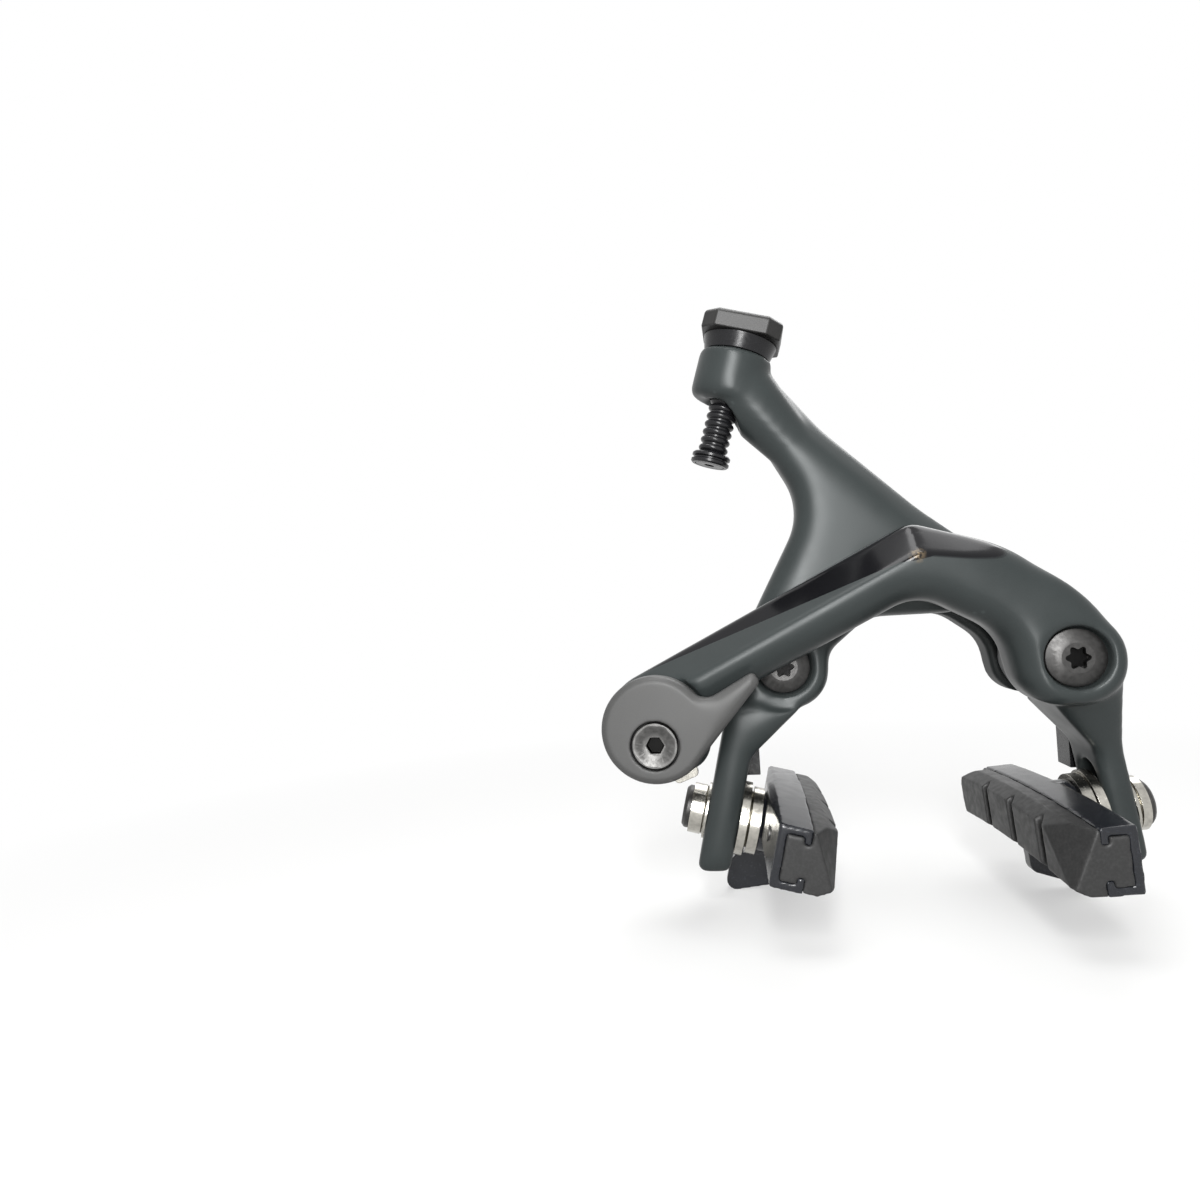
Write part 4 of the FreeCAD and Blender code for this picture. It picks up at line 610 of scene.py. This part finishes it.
def smooth_shaded(mesh, sharp_angle=SHARP_ANGLE):
    """Shades a mesh smooth, but for its sharp edges."""
    mesh.shade_smooth()
    mesh.set_sharp_from_angle(angle=sharp_angle)


def settled(obj):
    """The mesh of an object with its modifiers applied, and the object gone."""
    graph = bpy.context.evaluated_depsgraph_get()
    mesh = bpy.data.meshes.new_from_object(obj.evaluated_get(graph))
    bpy.data.objects.remove(obj)
    return mesh


def ramp(value, low, high):
    """Nought up to one number of millimetres, one from another on, and even in between."""
    return min(1.0, max(0.0, (value / MM - low) / (high - low)))


def off_axis(place, axis_point):
    """How far a place is from an axis that runs from front to back."""
    return math.hypot(place.x - axis_point.x, place.z - axis_point.z)


def front_arm_rounding(place):
    """How much the front arm is rounded: not on its top panel, nor round its pivot and the lever's seat."""
    from_ridge = CROWN_RIDGE - place
    below_left = from_ridge.z * math.cos(BAR_SLOPE) - from_ridge.x * math.sin(BAR_SLOPE)
    below_right = from_ridge.z * math.cos(CROWN_FALL) + from_ridge.x * math.sin(CROWN_FALL)
    return (ramp(min(below_left, below_right), *BELOW_PANEL)
            * ramp(off_axis(place, RIGHT_PIVOT), *OFF_RIGHT_PIVOT)
            * ramp(off_axis(place, CLAMP_AXIS), *OFF_LEVER_SEAT))


def rear_arm_rounding(place):
    """How much the rear arm is rounded: not round its pivot, nor in the adjuster's bore and on its boss."""
    from_foot = place - ADJUSTER_FOOT
    above_foot = ADJUSTER_AXIS.dot(from_foot)
    from_bore = (from_foot - ADJUSTER_AXIS * above_foot).length
    return (ramp(-above_foot, *BELOW_BOSS_TOP)
            * ramp(off_axis(place, LEFT_PIVOT), *OFF_LEFT_PIVOT)
            * max(ramp(from_bore, *OFF_BORE), ramp(-above_foot, *BELOW_BORE)))


def lever_rounding(place):
    """How much the lever is rounded: only out on its fin."""
    return ramp(off_axis(place, CLAMP_AXIS), *OFF_LEVER_DISC)


def rounded_front(mesh, amount_at):
    """A mesh whose faces are rounded from front to back by an amount for each place, its outline kept."""
    obj = bpy.data.objects.new("rounding_work", mesh)
    bpy.context.scene.collection.objects.link(obj)
    group = obj.vertex_groups.new(name="rounding")
    for vertex in mesh.vertices:
        group.add([vertex.index], amount_at(vertex.co), "REPLACE")
    calm = obj.modifiers.new("rounding", "SMOOTH")
    calm.use_x = False
    calm.use_z = False
    calm.factor = SMOOTHING
    calm.iterations = ROUNDING_PASSES
    calm.vertex_group = group.name
    return settled(obj)


def soft_copy(node, pitch, passes, finish=None, amount_at=None):
    """A node as one even skin whose edges and joins are softened, as on a forged or moulded piece."""
    obj = bpy.data.objects.new(node + "_work", merged(node))
    bpy.context.scene.collection.objects.link(obj)
    skin = obj.modifiers.new("skin", "REMESH")
    skin.mode = "VOXEL"
    skin.voxel_size = pitch
    calm = obj.modifiers.new("calm", "SMOOTH")
    calm.factor = SMOOTHING
    calm.iterations = passes
    mesh = settled(obj)
    if amount_at:
        mesh = rounded_front(mesh, amount_at)
    mesh.shade_smooth()
    return piece(node + "_skin", mesh, node, finish)


def crisp_copy(node, edge=None, finish=None):
    """A node with smooth round faces and, if a width is given, small rounded edges."""
    mesh = merged(node)
    work = bmesh.new()
    work.from_mesh(mesh)
    bmesh.ops.dissolve_limit(work, angle_limit=FLAT_ANGLE, verts=work.verts, edges=work.edges)
    work.to_mesh(mesh)
    work.free()
    smooth_shaded(mesh)
    obj = piece(node + "_turned", mesh, node, finish)
    if edge:
        rounding = obj.modifiers.new("rounding", "BEVEL")
        rounding.width = edge
        rounding.segments = 2
        rounding.limit_method = "ANGLE"
        rounding.angle_limit = EDGE_ANGLE
        rounding.harden_normals = True
        rounding.use_clamp_overlap = True
    else:
        even = obj.modifiers.new("even", "WEIGHTED_NORMAL")
        even.keep_sharp = True
    return obj


def lathed(node, profile, foot):
    """A turned piece of the adjuster: a closed profile in millimetres, spun round the adjuster's axis."""
    work = bmesh.new()
    ring = [work.verts.new(mm(radius, 0, height)) for radius, height in profile]
    outline = [work.edges.new((ring[k - 1], ring[k])) for k in range(len(ring))]
    bmesh.ops.spin(work, geom=ring + outline, cent=(0, 0, 0), axis=(0, 0, 1), angle=math.tau,
                   steps=ROUND_STEPS, use_merge=True)
    bmesh.ops.remove_doubles(work, verts=work.verts, dist=WELD)
    bmesh.ops.recalc_face_normals(work, faces=work.faces)
    turn = ADJUSTER_AXIS.to_track_quat("Z", "Y").to_matrix().to_4x4()
    bmesh.ops.transform(work, matrix=Matrix.Translation(foot) @ turn, verts=work.verts)
    mesh = mesh_of(work, node + "_mesh")
    smooth_shaded(mesh)
    return piece(node + "_turned", mesh, node)


def barrel_profile():
    """The barrel, ridged at its lower end, with its bore and the housing's socket at its top."""
    rim = BARREL_OUTSIDE - BARREL_CHAMFER
    profile = [(BARREL_BORE, 0), (rim, 0), (BARREL_OUTSIDE, BARREL_CHAMFER), (BARREL_OUTSIDE, RIDGED_FROM)]
    for ridge in range(RIDGES):
        low = RIDGE_FOOT + ridge * RIDGE_PITCH
        profile += [(radius, low + height) for radius, height in RIDGE_PROFILE]
    profile += [(BARREL_OUTSIDE, RIDGED_TO), (BARREL_OUTSIDE, BARREL_LENGTH - BARREL_CHAMFER),
                (rim, BARREL_LENGTH), (BARREL_SOCKET, BARREL_LENGTH),
                (BARREL_SOCKET, BARREL_SOCKET_FOOT), (BARREL_BORE, BARREL_SOCKET_FOOT)]
    return profile


def end_ring_profile():
    """The ring at the barrel's foot: two ridges with a groove between them."""
    upper_half = [(radius, RING_HEIGHT - height) for radius, height in reversed(RING_LOWER_HALF)]
    return [*RING_LOWER_HALF, *upper_half]


def star_recess(node):
    """A six-lobed driving recess in the head of a pivot bolt, as a plug with a blind hole."""
    work = bmesh.new()
    star = bmesh.ops.create_circle(work, segments=ROUND_STEPS, radius=STAR_MIDDLE)["verts"]
    for vertex in star:
        vertex.co *= 1.0 + STAR_LOBE * math.cos(STAR_LOBES * math.atan2(vertex.co.y, vertex.co.x))
    star_edges = work.edges[:]
    bmesh.ops.create_circle(work, segments=ROUND_STEPS, radius=STAR_PLUG)
    plug_edges = [edge for edge in work.edges if edge not in star_edges]
    bmesh.ops.bridge_loops(work, edges=star_edges + plug_edges)
    for loop, depth in ((star_edges, STAR_DEPTH), (plug_edges, STAR_DEPTH + STAR_FLOOR)):
        grown = bmesh.ops.extrude_edge_only(work, edges=loop)["geom"]
        bottom_verts = [part for part in grown if isinstance(part, bmesh.types.BMVert)]
        bmesh.ops.translate(work, verts=bottom_verts, vec=(0, 0, -depth))
        bottom_edges = [part for part in grown if isinstance(part, bmesh.types.BMEdge)
                        and all(vertex in bottom_verts for vertex in part.verts)]
        bmesh.ops.edgeloop_fill(work, edges=bottom_edges)
    bmesh.ops.recalc_face_normals(work, faces=work.faces)
    front = head_centre(node) - Vector((0, STAR_PROUD, 0))
    place = Matrix.Translation(front) @ Matrix.Rotation(math.radians(90), 4, "X")
    bmesh.ops.transform(work, matrix=place, verts=work.verts)
    mesh = mesh_of(work, node + "_star")
    smooth_shaded(mesh)
    return piece(node + "_star", mesh, node, stands_for=False)


def spring_half(side, sign):
    """One half of the return spring, cut off at its middle and left where it stands; on the brake its bend sits in
    the bridge and its end on an arm.
    """
    work = bmesh.new()
    work.from_mesh(merged("return_spring"))
    bmesh.ops.bisect_plane(work, geom=work.verts[:] + work.edges[:] + work.faces[:], dist=CUT,
                           plane_co=(0, 0, 0), plane_no=(sign, 0, 0), clear_inner=True)
    bmesh.ops.holes_fill(work, edges=[edge for edge in work.edges if edge.is_boundary], sides=0)
    bmesh.ops.recalc_face_normals(work, faces=work.faces)
    mesh = mesh_of(work, side + "_spring_half")
    smooth_shaded(mesh, WIRE_SHARP_ANGLE)
    mesh.materials.clear()
    mesh.materials.append(dark_steel())
    obj = bpy.data.objects.new(side + "_spring_half", mesh)
    bpy.context.scene.collection.objects.link(obj)
    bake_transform(obj)
    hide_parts("return_spring")


# Making the studio


def add_camera(scene):
    """The camera, at the viewing angle of the photograph."""
    lens = bpy.data.cameras.new("camera")
    lens.sensor_width = CAMERA_SENSOR
    lens.lens = CAMERA_LENS
    lens.clip_start = CAMERA_NEAR
    camera = bpy.data.objects.new("camera", lens)
    scene.collection.objects.link(camera)
    right = (CAMERA_RIGHT - CAMERA_FORWARD * CAMERA_RIGHT.dot(CAMERA_FORWARD)).normalized()
    turn = Matrix((right, right.cross(CAMERA_FORWARD), -CAMERA_FORWARD)).transposed()
    camera.matrix_world = Matrix.Translation(CAMERA_PLACE) @ turn.to_4x4()
    scene.camera = camera


def add_floor(scene):
    """A round floor just below the shoes."""
    work = bmesh.new()
    bmesh.ops.create_circle(work, cap_ends=True, segments=ROUND_STEPS, radius=FLOOR_RADIUS)
    bmesh.ops.translate(work, verts=work.verts, vec=(0, 0, SOLIDS_BOX[0][2] - FLOOR_GAP))
    mesh = mesh_of(work, "floor")
    mesh.materials.append(pale_floor())
    floor = bpy.data.objects.new("floor", mesh)
    scene.collection.objects.link(floor)


def add_lamp(name, energy, place, aim, width, height):
    """A soft light of a width and height in millimetres, turned to what it lights."""
    data = bpy.data.lights.new(name, "AREA")
    data.shape = "RECTANGLE"
    data.size = width * MM
    data.size_y = height * MM
    data.energy = energy
    obj = bpy.data.objects.new(name, data)
    bpy.context.scene.collection.objects.link(obj)
    obj.location = place
    obj.rotation_euler = (aim - place).to_track_quat("-Z", "Y").to_euler()


def add_surroundings(scene, strength):
    """A faint sky that the camera, metal and gloss see as white."""
    world = bpy.data.worlds.new("surroundings")
    world.use_nodes = True
    scene.world = world
    nodes = world.node_tree.nodes
    links = world.node_tree.links
    sky = nodes["Background"]
    sky.inputs["Color"].default_value = SKY_TINT
    sky.inputs["Strength"].default_value = strength
    white = nodes.new("ShaderNodeBackground")
    white.inputs["Color"].default_value = WHITE
    white.inputs["Strength"].default_value = 1.0
    rays = nodes.new("ShaderNodeLightPath")
    seen = rays.outputs["Is Camera Ray"]
    for kind in ("Is Glossy Ray", "Is Transmission Ray"):
        either = nodes.new("ShaderNodeMath")
        either.operation = "MAXIMUM"
        links.new(seen, either.inputs[0])
        links.new(rays.outputs[kind], either.inputs[1])
        seen = either.outputs[0]
    mixed = nodes.new("ShaderNodeMixShader")
    links.new(seen, mixed.inputs[0])
    links.new(sky.outputs[0], mixed.inputs[1])
    links.new(white.outputs[0], mixed.inputs[2])
    links.new(mixed.outputs[0], nodes["World Output"].inputs["Surface"])


# Operators


class BRAKE_OT_studio(bpy.types.Operator):
    """Camera, floor, lamps and surroundings"""

    bl_idname = "brake.studio"
    bl_label = "Studio"

    def execute(self, context):
        scene = context.scene
        light = scene.brake_light
        scene.view_settings.view_transform = "Standard"
        add_camera(scene)
        add_floor(scene)
        add_lamp("key", light.key, place=mm(-35, -345, 125), aim=mm(-35, 0, 125), width=65, height=340)
        add_lamp("top", light.top, place=mm(-60, -60, 420), aim=BRAKE_MIDDLE, width=250, height=250)
        add_lamp("rim", light.rim, place=mm(120, 330, 430), aim=BRAKE_MIDDLE, width=400, height=400)
        add_surroundings(scene, light.sky)
        return {"FINISHED"}


class BRAKE_OT_arms(bpy.types.Operator):
    """Forged skins of the two arms"""

    bl_idname = "brake.arms"
    bl_label = "Arms"

    def execute(self, context):
        pitch = sizes().arm_grain
        soft_copy("front_arm", pitch, passes=20, finish=front_arm_paint, amount_at=front_arm_rounding)
        soft_copy("rear_arm", pitch, passes=30, amount_at=rear_arm_rounding)
        return {"FINISHED"}


class BRAKE_OT_lever(bpy.types.Operator):
    """Quick-release lever with its cable clamp"""

    bl_idname = "brake.lever"
    bl_label = "Quick-release lever"

    def execute(self, context):
        soft_copy("qr_lever", sizes().small_grain, passes=4, amount_at=lever_rounding)
        crisp_copy("cable_clamp_bolt", sizes().edge, clamp_steel)
        crisp_copy("cable_clamp_plate", sizes().edge)
        return {"FINISHED"}


class BRAKE_OT_pivots(bpy.types.Operator):
    """Pivot bolts, bushes, washers and the link"""

    bl_idname = "brake.pivots"
    bl_label = "Pivots and link"

    def execute(self, context):
        for side in ("right", "left"):
            crisp_copy(side + "_pivot_bolt", sizes().edge)
            star_recess(side + "_pivot_bolt")
            crisp_copy(side + "_pivot_bush")
            crisp_copy(side + "_thrust_washer")
        crisp_copy("link_pin")
        crisp_copy("link_roller")
        return {"FINISHED"}


class BRAKE_OT_adjuster(bpy.types.Operator):
    """Cable adjuster: knob, collar, barrel and end ring"""

    bl_idname = "brake.adjuster"
    bl_label = "Cable adjuster"

    def execute(self, context):
        crisp_copy("adjuster_knob", sizes().knob_edge)
        crisp_copy("adjuster_collar", sizes().edge)
        foot = ADJUSTER_FOOT - ADJUSTER_AXIS * BARREL_DROP * MM
        lathed("adjuster_barrel", barrel_profile(), foot)
        lathed("adjuster_end_ring", end_ring_profile(), foot)
        return {"FINISHED"}


class BRAKE_OT_shoes(bpy.types.Operator):
    """Shoe holders, pads, washers and bolts on both legs"""

    bl_idname = "brake.shoes"
    bl_label = "Brake shoes"

    def execute(self, context):
        for side in ("right", "left"):
            soft_copy(side + "_shoe_holder", sizes().small_grain, passes=3)
            soft_copy(side + "_brake_pad", sizes().small_grain, passes=2)
            crisp_copy(side + "_shoe_bolt", sizes().edge)
            crisp_copy(side + "_pad_screw")
            for place in ("inner", "outer"):
                for form in ("convex", "concave"):
                    crisp_copy("%s_%s_%s_washer" % (side, place, form), sizes().edge)
        return {"FINISHED"}


class BRAKE_OT_frame_side(bpy.types.Operator):
    """Bridge, centre bolt, serrated washer, return spring, its seats and the centring screw"""

    bl_idname = "brake.frame_side"
    bl_label = "Frame side"

    def execute(self, context):
        soft_copy("bridge", sizes().arm_grain, passes=3)
        for node in ("centre_bolt", "serrated_washer", "centring_screw"):
            crisp_copy(node, sizes().edge)
        for side in ("right", "left"):
            crisp_copy(side + "_spring_seat", sizes().edge)
        spring_half("right", 1)
        spring_half("left", -1)
        return {"FINISHED"}


class BRAKE_PT_panel(bpy.types.Panel):
    """Lists the brake's settings and steps"""

    bl_label = "Caliper brake"
    bl_idname = "BRAKE_PT_panel"
    bl_space_type = "VIEW_3D"
    bl_region_type = "UI"
    bl_category = "Brake"

    def draw(self, context):
        for settings in SETTINGS:
            group = getattr(context.scene, settings)
            for name in group.__annotations__:
                self.layout.prop(group, name)
        for step in STEPS:
            self.layout.operator(step.bl_idname)


STEPS = (BRAKE_OT_studio, BRAKE_OT_arms, BRAKE_OT_lever, BRAKE_OT_pivots, BRAKE_OT_adjuster, BRAKE_OT_shoes,
         BRAKE_OT_frame_side)
SETTINGS = {"brake_colours": BrakeColours, "brake_sizes": BrakeSizes, "brake_light": BrakeLight}


def register():
    """Adds the settings, the steps and the panel to Blender."""
    for name, group in SETTINGS.items():
        bpy.utils.register_class(group)
        setattr(bpy.types.Scene, name, bpy.props.PointerProperty(type=group))
    for kind in (*STEPS, BRAKE_PT_panel):
        bpy.utils.register_class(kind)


def unregister():
    """Takes them out again."""
    for kind in (BRAKE_PT_panel, *reversed(STEPS)):
        bpy.utils.unregister_class(kind)
    for name, group in SETTINGS.items():
        delattr(bpy.types.Scene, name)
        bpy.utils.unregister_class(group)


def main():
    """Runs every step."""
    register()
    bpy.ops.brake.studio()
    bpy.ops.brake.arms()
    bpy.ops.brake.lever()
    bpy.ops.brake.pivots()
    bpy.ops.brake.adjuster()
    bpy.ops.brake.shoes()
    bpy.ops.brake.frame_side()


if __name__ == "__main__":
    main()
